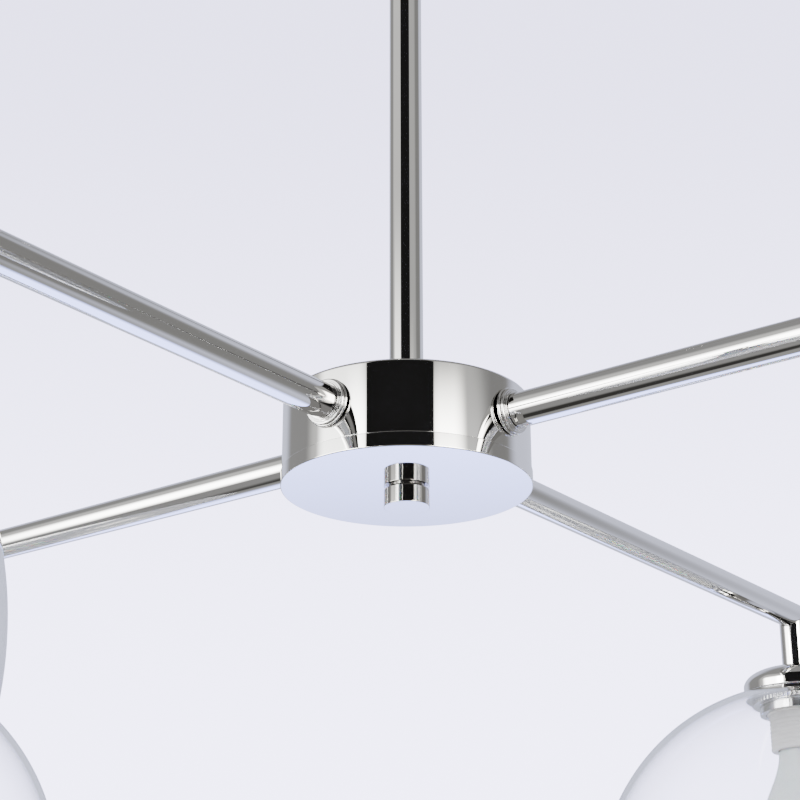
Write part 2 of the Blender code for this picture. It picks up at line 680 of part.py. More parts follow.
def lampholder():
    neck = HOLDER_NECK_RADIUS
    neck_top = HOLDER_TOP + CUP_WALL + PLUG_LENGTH
    bore = clear_of(LAMP_BASE_RADIUS, SMALL_SIDES)
    cavity_top = LAMP_BASE_TOP + 2 * CLEARANCE
    shoulder = HOLDER_TOP - HOLDER_SHOULDER_HEIGHT
    full = shoulder - (HOLDER_RADIUS - HOLDER_SHOULDER_RADIUS)
    lower = RING_SLEEVE_HEIGHT + RING_FLANGE_HEIGHT
    thread_end = SHADE_RING_TOP - lower
    outline = [
        (SPIGOT_BORE, neck_top), (SPIGOT_BORE, cavity_top), (bore, cavity_top), (bore, HOLDER_MOUTH),
        (bore + HOLDER_MOUTH_WALL, HOLDER_MOUTH), (bore + HOLDER_MOUTH_WALL, thread_end),
        (HOLDER_RADIUS, thread_end), (HOLDER_RADIUS, full), (HOLDER_SHOULDER_RADIUS, shoulder),
        (HOLDER_SHOULDER_RADIUS, HOLDER_TOP), (neck, HOLDER_TOP), (neck, neck_top),
    ]
    return turned(lathe("lampholder", outline, SMALL_SIDES), (DROP_REACH, 0, 0))


def shade():
    """A blown globe with a flat land round its top hole and a wide open mouth."""
    hole = clear_of(HOLDER_RADIUS, SHADE_SIDES) + SHADE_HOLE_GAP
    outer, inner = SHADE_RADIUS, SHADE_RADIUS - GLASS_THICKNESS
    land = SHADE_TOP - GLASS_THICKNESS
    centre = (0, SHADE_CENTRE)
    top_angle = math.degrees(math.acos(CUP_RADIUS / outer))
    mouth_angle = -math.degrees(math.acos(SHADE_MOUTH_RADIUS / outer))
    land_angle = math.degrees(math.asin((land - SHADE_CENTRE) / inner))
    outline = [(hole, SHADE_TOP)] + arc(centre, outer, top_angle, mouth_angle, SHADE_STEPS)
    outline += arc(centre, inner, mouth_angle, land_angle, SHADE_STEPS) + [(hole, land)]
    return turned(lathe("shade", outline, SHADE_SIDES), (DROP_REACH, 0, 0))


def shade_ring():
    """Made about its own top, on the drop's axis, so that it turns about itself."""
    sleeve_end = -RING_FLANGE_HEIGHT - RING_SLEEVE_HEIGHT
    outline = [
        (RING_BORE, 0), (RING_FLANGE_RADIUS, 0), (RING_FLANGE_RADIUS, -RING_FLANGE_HEIGHT),
        (RING_SLEEVE_RADIUS, -RING_FLANGE_HEIGHT), (RING_SLEEVE_RADIUS, sleeve_end), (RING_BORE, sleeve_end),
    ]
    return turned(lathe("shade_ring", outline, TURNED_SIDES), (DROP_REACH, 0, SHADE_RING_TOP))


def bulb():
    """A screw base and a pear envelope, hollow, vented at the base's tip."""
    globe_centre = BULB_BOTTOM + BULB_RADIUS
    neck_foot = HOLDER_MOUTH - CLEARANCE
    outer = [
        (BULB_TIP_RADIUS, LAMP_BASE_TOP), (LAMP_BASE_RADIUS, LAMP_BASE_TOP - BULB_TIP_RADIUS),
        (LAMP_BASE_RADIUS, neck_foot), (BULB_NECK_RADIUS, neck_foot - BULB_NECK_RADIUS / 2),
    ]
    outer += arc((0, globe_centre), BULB_RADIUS, BULB_SHOULDER_ANGLE, BULB_END_ANGLE, BEND_STEPS)
    inner = [(radius - BULB_GLASS, height) for radius, height in outer[1:4]]
    inner += arc((0, globe_centre), BULB_RADIUS - BULB_GLASS, BULB_SHOULDER_ANGLE, BULB_END_ANGLE, BEND_STEPS)
    vent_bottom = LAMP_BASE_TOP - BULB_TIP_RADIUS
    outline = [(BULB_VENT_RADIUS, LAMP_BASE_TOP)] + outer + [(0, BULB_BOTTOM), (0, BULB_BOTTOM + BULB_GLASS)]
    outline += inner[::-1] + [(BULB_VENT_RADIUS, vent_bottom)]
    return turned(lathe("bulb", outline, SMALL_SIDES), (DROP_REACH, 0, 0))


# Leads


def lead_upper():
    """The lead's stretch inside the yoke, ending above the eye, which swings under it."""
    top = -2 * CLEARANCE - PIVOT_Z
    return rod("lead_upper", LEAD_RADIUS, EYE_RADIUS + CLEARANCE, top)


def branch_tube(turn):
    """A branch of the lead from the splice, along an arm, and down its drop."""
    height = ARM_HEIGHT
    end = height + HOLDER_TOP - CLEARANCE
    points = [(SPLICE_RADIUS / 2, height), (DROP_REACH - LEAD_BEND, height)]
    points += [
        (DROP_REACH - LEAD_BEND + x, height - LEAD_BEND + z)
        for x, z in arc((0, 0), LEAD_BEND, LEAD_BEND_START, 0, CORNER_STEPS)
    ]
    points.append((DROP_REACH, end))
    curve = bpy.data.curves.new("branch", "CURVE")
    curve.dimensions = "3D"
    curve.bevel_depth = BRANCH_RADIUS
    curve.bevel_resolution = 1
    curve.use_fill_caps = True
    spline = curve.splines.new("POLY")
    spline.points.add(len(points) - 1)
    for point, (x, z) in zip(spline.points, points):
        point.co = (x * math.cos(turn), x * math.sin(turn), z, 1)
    holder = bpy.data.objects.new("branch", curve)
    bpy.context.scene.collection.objects.link(holder)
    bpy.context.view_layer.update()
    graph = bpy.context.evaluated_depsgraph_get()
    mesh = bpy.data.meshes.new_from_object(holder.evaluated_get(graph))
    bpy.data.objects.remove(holder)
    bm = bmesh.new()
    bm.from_mesh(mesh)
    bmesh.ops.remove_doubles(bm, verts=bm.verts, dist=WELD)
    return new_object("branch", bm)


def wiring():
    """One lead down the stem to a splice in the hub, and a branch through each arm."""
    splice_top = ARM_HEIGHT + SPLICE_HEIGHT / 2
    top = PIVOT_Z - CLEARANCE - HUB_BOTTOM
    outline = [
        (0, splice_top - SPLICE_HEIGHT), (SPLICE_RADIUS, splice_top - SPLICE_HEIGHT),
        (SPLICE_RADIUS, splice_top), (LEAD_RADIUS, splice_top), (LEAD_RADIUS, top), (0, top),
    ]
    lead = lathe("wiring", outline, SMALL_SIDES)
    branches = [branch_tube(index * 2 * math.pi / ARM_COUNT) for index in range(ARM_COUNT)]
    return carve(lead, branches, "UNION")


def build():
    clear_scene()
    finish_of = {name: make_material(name) for name in MATERIALS}
    nickel, steel = finish_of["polished_nickel"], finish_of["zinc_steel"]

    ceiling = frame_empty("ceiling_frame", (0, 0, 0))
    pivot = frame_empty("pivot_frame", (0, 0, PIVOT_Z), ceiling)
    hub = frame_empty("hub_frame", (0, 0, HUB_BOTTOM), ceiling)

    finish(mounting_strap(), steel, ceiling)
    finish(canopy(), nickel, ceiling)
    finish(canopy_ring(), nickel, ceiling)
    finish(swivel_nut(), steel, ceiling)

    finish(swivel_yoke(), nickel, pivot)
    finish(swivel_eye(), nickel, pivot)
    screw = turned(swivel_screw("swivel_screw_1"), (YOKE_RADIUS + CLEARANCE, 0, 0), ALONG_X)
    twin = turned(copy_of(screw, "swivel_screw_2"), (-YOKE_RADIUS - CLEARANCE, 0, 0), (0, -math.pi / 2, 0))
    finish(screw, nickel, pivot)
    finish(twin, nickel, pivot)
    finish(lead_upper(), finish_of["lead_insulation"], pivot)

    finish(stem_tube("stem_upper", STEM_TOP, STEM_UPPER_LENGTH), nickel, ceiling)
    finish(stem_coupling(), nickel, ceiling)
    finish(stem_tube("stem_lower", STEM_LOWER_TOP, STEM_LOWER_LENGTH), nickel, ceiling)

    finish(hub_body(), nickel, hub)
    finish(hub_lid(), nickel, hub)
    finish(stem_nipple(), steel, hub)
    finish(hub_nut(), steel, hub)
    finish(hub_bracket(), steel, hub)
    finish(lid_screw(), steel, hub)
    finish(finial(), nickel, hub)
    finish(wiring(), finish_of["lead_insulation"], hub)

    arm_pieces = [
        (arm_nut(), "arm_nut", steel), (arm_collar(), "arm_collar", nickel), (arm_tube(), "arm", nickel),
        (arm_cap(), "arm_cap", nickel), (drop_tube(), "drop", nickel), (shade_cup(), "shade_cup", nickel),
        (lampholder(), "lampholder", finish_of["white_phenolic"]),
        (shade(), "shade", finish_of["clear_glass"]), (shade_ring(), "shade_ring", nickel),
        (bulb(), "bulb", finish_of["bulb_glass"]),
    ]
    for index in range(ARM_COUNT):
        turn = index * 2 * math.pi / ARM_COUNT
        arm_frame = frame_empty(f"arm_frame_{index + 1}", (0, 0, ARM_HEIGHT), hub, turn)
        for piece, name, material in arm_pieces:
            finish(copy_of(piece, f"{name}_{index + 1}"), material, arm_frame)
    for piece, _, _ in arm_pieces:
        bpy.data.objects.remove(piece)


build()
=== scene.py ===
"""Looks for the four arm chandelier: fine pieces round the CAD frame, their materials, studio and camera.

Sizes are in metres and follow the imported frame's boxes, with the details' own sizes named
above each group. An outline's third numbers are the rounding of its corners. Arm pieces
are made once, in an arm's own place (X along the arm from the hub's axis, Z up from the
arm's axis), and shown four times.
"""
import json
import math

import bmesh
import bpy
from mathutils import Matrix, Vector


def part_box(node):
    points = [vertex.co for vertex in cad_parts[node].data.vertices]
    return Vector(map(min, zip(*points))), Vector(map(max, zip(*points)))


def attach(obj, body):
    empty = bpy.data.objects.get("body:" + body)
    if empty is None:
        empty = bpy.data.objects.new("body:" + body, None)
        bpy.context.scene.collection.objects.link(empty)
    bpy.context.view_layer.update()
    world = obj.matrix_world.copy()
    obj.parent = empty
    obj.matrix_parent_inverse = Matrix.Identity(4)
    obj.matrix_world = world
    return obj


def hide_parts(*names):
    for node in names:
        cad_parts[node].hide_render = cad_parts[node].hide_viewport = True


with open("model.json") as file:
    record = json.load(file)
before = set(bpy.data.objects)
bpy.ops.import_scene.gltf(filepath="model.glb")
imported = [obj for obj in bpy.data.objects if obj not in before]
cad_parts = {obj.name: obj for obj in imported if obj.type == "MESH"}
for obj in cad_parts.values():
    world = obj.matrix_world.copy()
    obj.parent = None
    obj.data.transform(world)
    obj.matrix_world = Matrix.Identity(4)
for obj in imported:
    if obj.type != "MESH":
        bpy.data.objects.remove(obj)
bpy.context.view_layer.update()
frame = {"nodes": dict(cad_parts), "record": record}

MM = 0.001
FINE = 128  # sides of the large round pieces
MEDIUM = 72  # sides of the small round pieces
ARMS = (1, 2, 3, 4)
SMOOTH_TURN = math.radians(20)  # an outline's bend up to this much is part of a curve
STRAIGHT = 3  # a span this many times longer than its neighbour is flat, not a curve's sample
EDGE = 0.12 * MM  # rounding of a sharp corner that states none
EDGE_STEPS = 4
EDGE_SHARE = 0.45  # how much of a span one corner's rounding may take
ON_AXIS = 1e-7  # a smaller radius is the axis itself


# Mesh building


def outline_points(corners, closed):
    """(radius, height) points with outward normals; the solid lies left of the outline's travel.

    A corner is (radius, height) or (radius, height, fillet). Gentle bends are taken as
    samples of a curve; sharper ones are rounded to their fillet.
    """
    corners = [(c[0], c[1], c[2] if len(c) > 2 else EDGE) for c in corners]
    count = len(corners)
    spans = count if closed else count - 1
    heading, length = [], []
    for i in range(spans):
        a, b = corners[i], corners[(i + 1) % count]
        step = Vector((b[0] - a[0], b[1] - a[1]))
        length.append(step.length)
        heading.append(step.normalized())
    normal = [Vector((h.y, -h.x)) for h in heading]
    made = []
    for i, (radius, height, fillet) in enumerate(corners):
        here = Vector((radius, height))
        if not closed and i in (0, count - 1):
            made.append((here, normal[0] if i == 0 else normal[-1]))
            continue
        before, after = (i - 1) % spans, i % spans
        turn = -heading[before].angle_signed(heading[after])
        if abs(turn) < SMOOTH_TURN:
            if length[before] > STRAIGHT * length[after]:
                made.append((here, normal[before]))
            elif length[after] > STRAIGHT * length[before]:
                made.append((here, normal[after]))
            else:
                made.append((here, (normal[before] + normal[after]).normalized()))
            continue
        slope = abs(math.tan(turn / 2))
        reach = min(fillet * slope, EDGE_SHARE * length[before], EDGE_SHARE * length[after])
        radius_here = reach / slope
        outward = 1 if turn > 0 else -1
        middle = here - heading[before] * reach - normal[before] * radius_here * outward
        for step in range(EDGE_STEPS + 1):
            spun = Matrix.Rotation(turn * step / EDGE_STEPS, 2) @ normal[before]
            made.append((middle + spun * radius_here * outward, spun))
    return made


def arc(centre, radius, start, end, steps=12):
    """Corners on an arc, with angles in degrees from the outward axis."""
    made = []
    for step in range(steps + 1):
        angle = math.radians(start + (end - start) * step / steps)
        made.append((centre[0] + radius * math.cos(angle), centre[1] + radius * math.sin(angle)))
    return made


def lathe(name, corners, sides=MEDIUM, closed=True):
    """Spin an outline round Z, with exact normals so that a mirror finish reads true."""
    points = outline_points(corners, closed)
    verts, normals, rings = [], [], []
    for spot, out in points:
        first = len(verts)
        if spot.x < ON_AXIS:
            verts.append((0, 0, spot.y))
            normals.append((0, 0, 1 if out.y > 0 else -1))
            rings.append([first] * sides)
            continue
        for side in range(sides):
            angle = 2 * math.pi * side / sides
            across, along = math.cos(angle), math.sin(angle)
            verts.append((spot.x * across, spot.x * along, spot.y))
            normals.append((out.x * across, out.x * along, out.y))
        rings.append(list(range(first, first + sides)))
    faces = []
    for i in range(len(rings) if closed else len(rings) - 1):
        low, high = rings[i], rings[(i + 1) % len(rings)]
        for side in range(sides):
            after = (side + 1) % sides
            face = list(dict.fromkeys([low[side], low[after], high[after], high[side]]))
            if len(face) > 2:  # not where both rings are points on the axis
                faces.append(face)
    mesh = bpy.data.meshes.new(name)
    mesh.from_pydata(verts, [], faces)
    mesh.polygons.foreach_set("use_smooth", [True] * len(faces))
    mesh.normals_split_custom_set_from_vertices(normals)
    return mesh


def smooth_by_angle(mesh, degrees):
    mesh.polygons.foreach_set("use_smooth", [True] * len(mesh.polygons))
    mesh.set_sharp_from_angle(angle=math.radians(degrees))
    return mesh


def fluted(mesh, count, depth, inside):
    """Cut flutes down the outer wall of a turned mesh, where it is wider than inside."""
    for vert in mesh.vertices:
        radius = math.hypot(vert.co.x, vert.co.y)
        if radius > inside:
            angle = math.atan2(vert.co.y, vert.co.x)
            cut = depth * (0.5 - 0.5 * math.cos(count * angle)) ** 2
            scale = (radius - cut) / radius
            vert.co.x *= scale
            vert.co.y *= scale
    mesh.normals_split_custom_set([(0, 0, 0)] * len(mesh.loops))
    return smooth_by_angle(mesh, 50)


def prism(name, outline, low, high):
    bm = bmesh.new()
    base = bm.faces.new([bm.verts.new((x, y, low)) for x, y in outline])
    raised = bmesh.ops.extrude_face_region(bm, geom=[base])["geom"]
    tops = [item for item in raised if isinstance(item, bmesh.types.BMVert)]
    bmesh.ops.translate(bm, verts=tops, vec=(0, 0, high - low))
    bmesh.ops.recalc_face_normals(bm, faces=bm.faces)
    mesh = bpy.data.meshes.new(name)
    bm.to_mesh(mesh)
    bm.free()
    return mesh


def rounded_bar(length, width, corner, steps=8):
    x, y = length / 2 - corner, width / 2 - corner
    made = []
    for turn, (sign_x, sign_y) in enumerate([(1, 1), (-1, 1), (-1, -1), (1, -1)]):
        made += arc((sign_x * x, sign_y * y), corner, turn * 90, turn * 90 + 90, steps)
    return made


def cut_mesh(mesh, tools, edge):
    """Boolean a mesh with (mesh, matrix, operation) tools, then round its sharp edges."""
    collection = bpy.context.scene.collection
    body = bpy.data.objects.new("cutting", mesh)
    collection.objects.link(body)
    helpers = []
    for tool, matrix, operation in tools:
        helper = bpy.data.objects.new("cutter", tool)
        helper.matrix_world = matrix
        collection.objects.link(helper)
        helpers.append(helper)
        step = body.modifiers.new("cut", "BOOLEAN")
        step.operation, step.solver, step.object = operation, "EXACT", helper
    bevel = body.modifiers.new("edge", "BEVEL")
    bevel.width, bevel.segments, bevel.limit_method = edge, 3, "ANGLE"
    bevel.angle_limit, bevel.harden_normals = math.radians(35), True
    bpy.context.view_layer.update()
    graph = bpy.context.evaluated_depsgraph_get()
    made = bpy.data.meshes.new_from_object(body.evaluated_get(graph))
    for item in [body, *helpers]:
        bpy.data.objects.remove(item)
    made.name = mesh.name
    return smooth_by_angle(made, 30)


def plain_cylinder(radius, low, high, sides=48):
    return prism("rod", arc((0, 0), radius, 0, 360 - 360 / sides, sides - 1), low, high)


# Materials

NOISE_ROUGHNESS = 0.55


class Surface:
    """A Principled material with a few short ways to wire procedural detail into it."""

    def __init__(self, name, colour, roughness, metallic=0.0):
        self.material = bpy.data.materials.new(name)
        self.material.use_nodes = True
        self.tree = self.material.node_tree
        self.shader = self.tree.nodes["Principled BSDF"]
        self.shader.inputs["Base Color"].default_value = (*colour, 1.0)
        self.shader.inputs["Roughness"].default_value = roughness
        self.shader.inputs["Metallic"].default_value = metallic
        self.material.diffuse_color = (*colour, 1.0)
        self.colour = colour
        self.place = self.tree.nodes.new("ShaderNodeTexCoord").outputs["Object"]

    def noise(self, per_metre, detail, stretch=(1, 1, 1)):
        mapping = self.tree.nodes.new("ShaderNodeMapping")
        mapping.inputs["Scale"].default_value = stretch
        self.tree.links.new(self.place, mapping.inputs["Vector"])
        node = self.tree.nodes.new("ShaderNodeTexNoise")
        node.inputs["Scale"].default_value = per_metre
        node.inputs["Detail"].default_value = detail
        node.inputs["Roughness"].default_value = NOISE_ROUGHNESS
        self.tree.links.new(mapping.outputs["Vector"], node.inputs["Vector"])
        return node.outputs["Fac"]

    def cells(self, per_metre):
        node = self.tree.nodes.new("ShaderNodeTexVoronoi")
        node.inputs["Scale"].default_value = per_metre
        self.tree.links.new(self.place, node.inputs["Vector"])
        parts = self.tree.nodes.new("ShaderNodeSeparateColor")
        self.tree.links.new(node.outputs["Color"], parts.inputs["Color"])
        return parts.outputs["Red"]

    def ranged(self, value, low, high, to_low, to_high):
        node = self.tree.nodes.new("ShaderNodeMapRange")
        self.tree.links.new(value, node.inputs["Value"])
        limits = {"From Min": low, "From Max": high, "To Min": to_low, "To Max": to_high}
        for name, number in limits.items():
            node.inputs[name].default_value = number
        return node.outputs["Result"]

    def maths(self, operation, first, second):
        node = self.tree.nodes.new("ShaderNodeMath")
        node.operation = operation
        for value, socket in ((first, node.inputs[0]), (second, node.inputs[1])):
            if isinstance(value, (int, float)):
                socket.default_value = value
            else:
                self.tree.links.new(value, socket)
        return node.outputs["Value"]

    def edges(self):
        """1 on outside edges, 0 elsewhere."""
        node = self.tree.nodes.new("ShaderNodeNewGeometry")
        return self.ranged(node.outputs["Pointiness"], 0.52, 0.60, 0.0, 1.0)

    def tint(self, value, second):
        """Mix the base colour towards a second colour by a value from 0 to 1."""
        node = self.tree.nodes.new("ShaderNodeMix")
        node.data_type = "RGBA"
        self.tree.links.new(value, node.inputs["Factor"])
        node.inputs["A"].default_value = (*self.colour, 1.0)
        node.inputs["B"].default_value = (*second, 1.0)
        self.tree.links.new(node.outputs["Result"], self.shader.inputs["Base Color"])

    def rough(self, value):
        self.tree.links.new(value, self.shader.inputs["Roughness"])

    def bump(self, height, strength, distance):
        node = self.tree.nodes.new("ShaderNodeBump")
        node.inputs["Strength"].default_value = strength
        node.inputs["Distance"].default_value = distance
        self.tree.links.new(height, node.inputs["Height"])
        self.tree.links.new(node.outputs["Normal"], self.shader.inputs["Normal"])


def polished_nickel(name="polished_nickel", stretch=(1, 1, 0.08), base=0.016):
    """Mirror plate: faint polishing lines, a few duller smudges, edges rubbed a little."""
    made = Surface(name, (0.735, 0.725, 0.71), base, 1.0)
    smudge = made.ranged(made.noise(38, 4), 0.52, 0.78, 0.0, 0.022)
    lines = made.ranged(made.noise(2600, 2, stretch), 0.35, 0.75, 0.0, 0.012)
    worn = made.maths("MULTIPLY", made.edges(), 0.03)
    made.rough(made.maths("ADD", made.maths("ADD", smudge, lines), made.maths("ADD", worn, base)))
    made.tint(made.ranged(made.noise(60, 3), 0.4, 0.8, 0.0, 0.35), (0.70, 0.685, 0.665))
    made.bump(made.noise(30, 1), 0.008, 0.05 * MM)
    return made.material


def zinc_steel():
    """Plated steel: dull spangles under rolling lines."""
    made = Surface("zinc_steel", (0.60, 0.61, 0.63), 0.34, 1.0)
    spangle = made.ranged(made.cells(420), 0, 1, 0.24, 0.42)
    lines = made.noise(900, 3, (0.15, 1, 1))
    made.rough(made.maths("ADD", spangle, made.ranged(lines, 0.3, 0.7, 0, 0.10)))
    made.tint(made.ranged(made.noise(120, 4), 0.35, 0.75, 0, 0.6), (0.47, 0.48, 0.50))
    made.bump(lines, 0.12, 0.05 * MM)
    return made.material


def clear_glass():
    """Blown glass: nearly clear, slightly wavy, with a little dust low on the surface."""
    made = Surface("clear_glass", (0.985, 0.99, 1.0), 0.0, 0.0)
    made.shader.inputs["Transmission Weight"].default_value = 1.0
    made.shader.inputs["IOR"].default_value = 1.50
    made.rough(made.ranged(made.noise(55, 5), 0.55, 0.8, 0.0, 0.05))
    made.tint(made.ranged(made.noise(20, 2), 0.3, 0.8, 0, 1), (0.96, 0.97, 0.99))
    made.bump(made.noise(22, 2), 0.10, 0.35 * MM)
    return made.material


def bulb_glass():
    """Frosted white envelope."""
    made = Surface("bulb_glass", (0.93, 0.925, 0.91), 0.30, 0.0)
    made.shader.inputs["Subsurface Weight"].default_value = 0.25
    made.shader.inputs["Subsurface Scale"].default_value = 4 * MM
    made.shader.inputs["Coat Weight"].default_value = 0.25
    made.shader.inputs["Coat Roughness"].default_value = 0.12
    made.rough(made.ranged(made.noise(700, 3), 0.3, 0.7, 0.24, 0.36))
    made.tint(made.ranged(made.noise(30, 2), 0.35, 0.75, 0, 1), (0.89, 0.885, 0.87))
    made.bump(made.noise(1500, 2), 0.08, 0.03 * MM)
    return made.material


def phenolic():
    """White moulded plastic of the lampholders."""
    made = Surface("white_phenolic", (0.83, 0.82, 0.79), 0.38, 0.0)
    made.rough(made.ranged(made.noise(300, 4), 0.3, 0.7, 0.30, 0.46))
    made.tint(made.ranged(made.noise(90, 4), 0.35, 0.8, 0, 1), (0.76, 0.745, 0.71))
    made.bump(made.noise(1800, 3), 0.15, 0.05 * MM)
    return made.material


def insulation():
    """The lead's sleeve."""
    made = Surface("lead_insulation", (0.80, 0.80, 0.78), 0.48, 0.0)
    made.rough(made.ranged(made.noise(500, 3), 0.3, 0.7, 0.40, 0.56))
    made.tint(made.ranged(made.noise(140, 3), 0.4, 0.8, 0, 1), (0.69, 0.69, 0.66))
    made.bump(made.noise(1200, 2), 0.15, 0.04 * MM)
    return made.material


NICKEL = polished_nickel()
TURNED_NICKEL = polished_nickel("turned_nickel", (0.08, 0.08, 1), 0.018)
STEEL = zinc_steel()
GLASS = clear_glass()
FROSTED = bulb_glass()
PHENOLIC = phenolic()
INSULATION = insulation()


# Sizes from the frame

TUBE_WALL = 1.2 * MM
GAP = 0.3 * MM  # between neighbours, as in the frame
PAST = 1 * MM  # how far a cutter goes past what it cuts
STEM_PLUG = 6.2 * MM  # radius of what fits inside the stem and the drops
PLUG_FIT = 0.2 * MM  # play of a plug in an arm tube
STUD_BORE = 3.4 * MM  # radius of the holes for the screw that the finial goes on
LEAD_BORE = 3.2 * MM  # radius of the lead's hole through collars and lampholders
FLUTE_SIDES = 6  # sides of a fluted mesh to each flute


def half_width(node):
    low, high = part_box(node)
    return (high.x - low.x) / 2


def half_width_y(node):
    low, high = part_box(node)
    return (high.y - low.y) / 2


def half_height(node):
    low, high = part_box(node)
    return (high.z - low.z) / 2


def span(node):
    low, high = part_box(node)
    return low.z, high.z


ARM_Z = sum(span("arm_1")) / 2
ARM_START, ARM_END = (corner.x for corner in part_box("arm_1"))
ARM_RADIUS = half_height("arm_1")
ARM_PLUG = ARM_RADIUS - TUBE_WALL - PLUG_FIT
DROP_AXIS = sum(corner.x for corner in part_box("drop_1")) / 2
DROP_RADIUS = half_width("drop_1")
STEM_RADIUS = half_width("stem_upper")
PIVOT_Z = span("swivel_eye")[1] - half_width_y("swivel_eye")
BODY_OF = {node: body for body, nodes in frame["record"]["behaviour"]["bodies"].items() for node in nodes}


def arm_span(node):
    """A node's lowest and highest level, from the arm's axis."""
    low, high = span(node)
    return low - ARM_Z, high - ARM_Z


def at(x=0.0, y=0.0, z=0.0):
    return Matrix.Translation((x, y, z))


ALONG_X = Matrix.Rotation(math.pi / 2, 4, "Y")


def arm_matrix(index):
    """From an arm's own place to the part's frame."""
    return at(z=ARM_Z) @ Matrix.Rotation((index - 1) * math.pi / 2, 4, "Z")


def show(name, mesh, material, body, matrix, nodes=()):
    """Place a mesh, put it on its body, and let it stand for its CAD nodes."""
    obj = bpy.data.objects.new(name, mesh)
    bpy.context.scene.collection.objects.link(obj)
    if not mesh.materials:
        mesh.materials.append(material)
    obj.matrix_world = matrix
    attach(obj, body)
    if nodes:
        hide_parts(*nodes)


def show_node(node, mesh, material, matrix):
    """Show a mesh in place of a CAD node, on that node's body."""
    show(f"{node}_fine", mesh, material, BODY_OF[node], matrix, [node])


# Ceiling pieces

STRAP_CORNER, STRAP_EDGE = 4 * MM, 0.35 * MM
STRAP_HOLE = 5.45 * MM  # radius
STRAP_SLOT = (12 * MM, 5.5 * MM, 2.7 * MM)  # length, width and corner
STRAP_SLOT_PLACE = 44.45 * MM  # from the strap's middle
CANOPY_WALL, CANOPY_CORNER, CANOPY_BORE, CANOPY_LIP = 1.2 * MM, 4 * MM, 5.35 * MM, 0.45 * MM
RING_BORE, RING_FLUTES, RING_FLUTE_DEPTH = 5.3 * MM, 40, 0.35 * MM


def mounting_strap():
    low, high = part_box("mounting_strap")
    length, width = high.x - low.x, high.y - low.y
    strap = prism("mounting_strap_fine", rounded_bar(length, width, STRAP_CORNER), low.z, high.z)
    slot = prism("slot", rounded_bar(*STRAP_SLOT), low.z - PAST, high.z + PAST)
    tools = [(plain_cylinder(STRAP_HOLE, low.z - PAST, high.z + PAST), at(), "DIFFERENCE")]
    for side in (-1, 1):
        tools.append((slot, at(x=side * STRAP_SLOT_PLACE), "DIFFERENCE"))
    show("strap_fine", cut_mesh(strap, tools, STRAP_EDGE), STEEL, "ceiling", at(), ["mounting_strap"])


def canopy():
    low, high = span("canopy")
    radius = half_width("canopy")
    turn = (radius - CANOPY_CORNER, low + CANOPY_CORNER)
    outline = arc(turn, CANOPY_CORNER, -90, 0, 16)
    outline += [(radius, high, CANOPY_LIP), (radius - CANOPY_WALL, high, CANOPY_LIP)]
    outline += arc(turn, CANOPY_CORNER - CANOPY_WALL, 0, -90, 12)
    outline += [(CANOPY_BORE, low + CANOPY_WALL, 0.2 * MM), (CANOPY_BORE, low, 0.2 * MM)]
    show_node("canopy", lathe("canopy_fine", outline, FINE), TURNED_NICKEL, at())


def canopy_ring():
    low, high = span("canopy_ring")
    radius = half_width("canopy_ring")
    chamfer_low, chamfer_high = 0.8 * MM, 0.5 * MM
    outline = [
        (RING_BORE, low), (radius - chamfer_low, low, 0.5 * MM), (radius, low + chamfer_low, 0.3 * MM),
        (radius, high - chamfer_high, 0.2 * MM), (radius - chamfer_high, high, 0.2 * MM), (RING_BORE, high),
    ]
    turned = lathe("canopy_ring_fine", outline, FLUTE_SIDES * RING_FLUTES)
    mesh = fluted(turned, RING_FLUTES, RING_FLUTE_DEPTH, radius - 0.4 * MM)
    show_node("canopy_ring", mesh, TURNED_NICKEL, at())


# Swivel, about its pivot

YOKE_RADIUS = half_width("swivel_yoke")
YOKE_BORE, YOKE_SHANK = 3.4 * MM, 5 * MM  # radii
YOKE_BRIDGE = 5 * MM  # metal above the slot
EYE_RADIUS, EYE_HALF = half_width_y("swivel_eye"), half_width("swivel_eye")
EYE_BORE = 3.6 * MM
PIN_HOLE = 2.4 * MM
SWIVEL_EDGE = 0.3 * MM
SCREW_SHANK, SCREW_HEAD, SCREW_CROWN = 2 * MM, 3.8 * MM, 3.2 * MM  # radii
SCREW_SLOT, SCREW_SLOT_DEPTH, SCREW_EDGE = (8 * MM, 0.9 * MM, 0.2 * MM, 2), 1.0 * MM, 0.08 * MM


def pin_hole():
    """Cutter for the screws' hole, longer than the yoke is wide."""
    return plain_cylinder(PIN_HOLE, -30 * MM, 30 * MM), ALONG_X, "DIFFERENCE"


def swivel_yoke():
    bottom, top = (level - PIVOT_Z for level in span("swivel_yoke"))
    head_top = span("canopy_ring")[0] - GAP - PIVOT_Z
    outline = [
        (YOKE_BORE, bottom), (YOKE_RADIUS, bottom, 0.8 * MM), (YOKE_RADIUS, head_top, 1.0 * MM),
        (YOKE_SHANK, head_top), (YOKE_SHANK, top, 0.4 * MM), (YOKE_BORE, top),
    ]
    x, y = EYE_HALF + GAP, 20 * MM  # the slot is open at both of its ends
    slot = prism("slot", [(-x, -y), (x, -y), (x, y), (-x, y)], bottom - 5 * MM, head_top - YOKE_BRIDGE)
    tools = [(slot, at(), "DIFFERENCE"), pin_hole()]
    yoke = cut_mesh(lathe("swivel_yoke_fine", outline), tools, SWIVEL_EDGE)
    show_node("swivel_yoke", yoke, TURNED_NICKEL, at(z=PIVOT_Z))


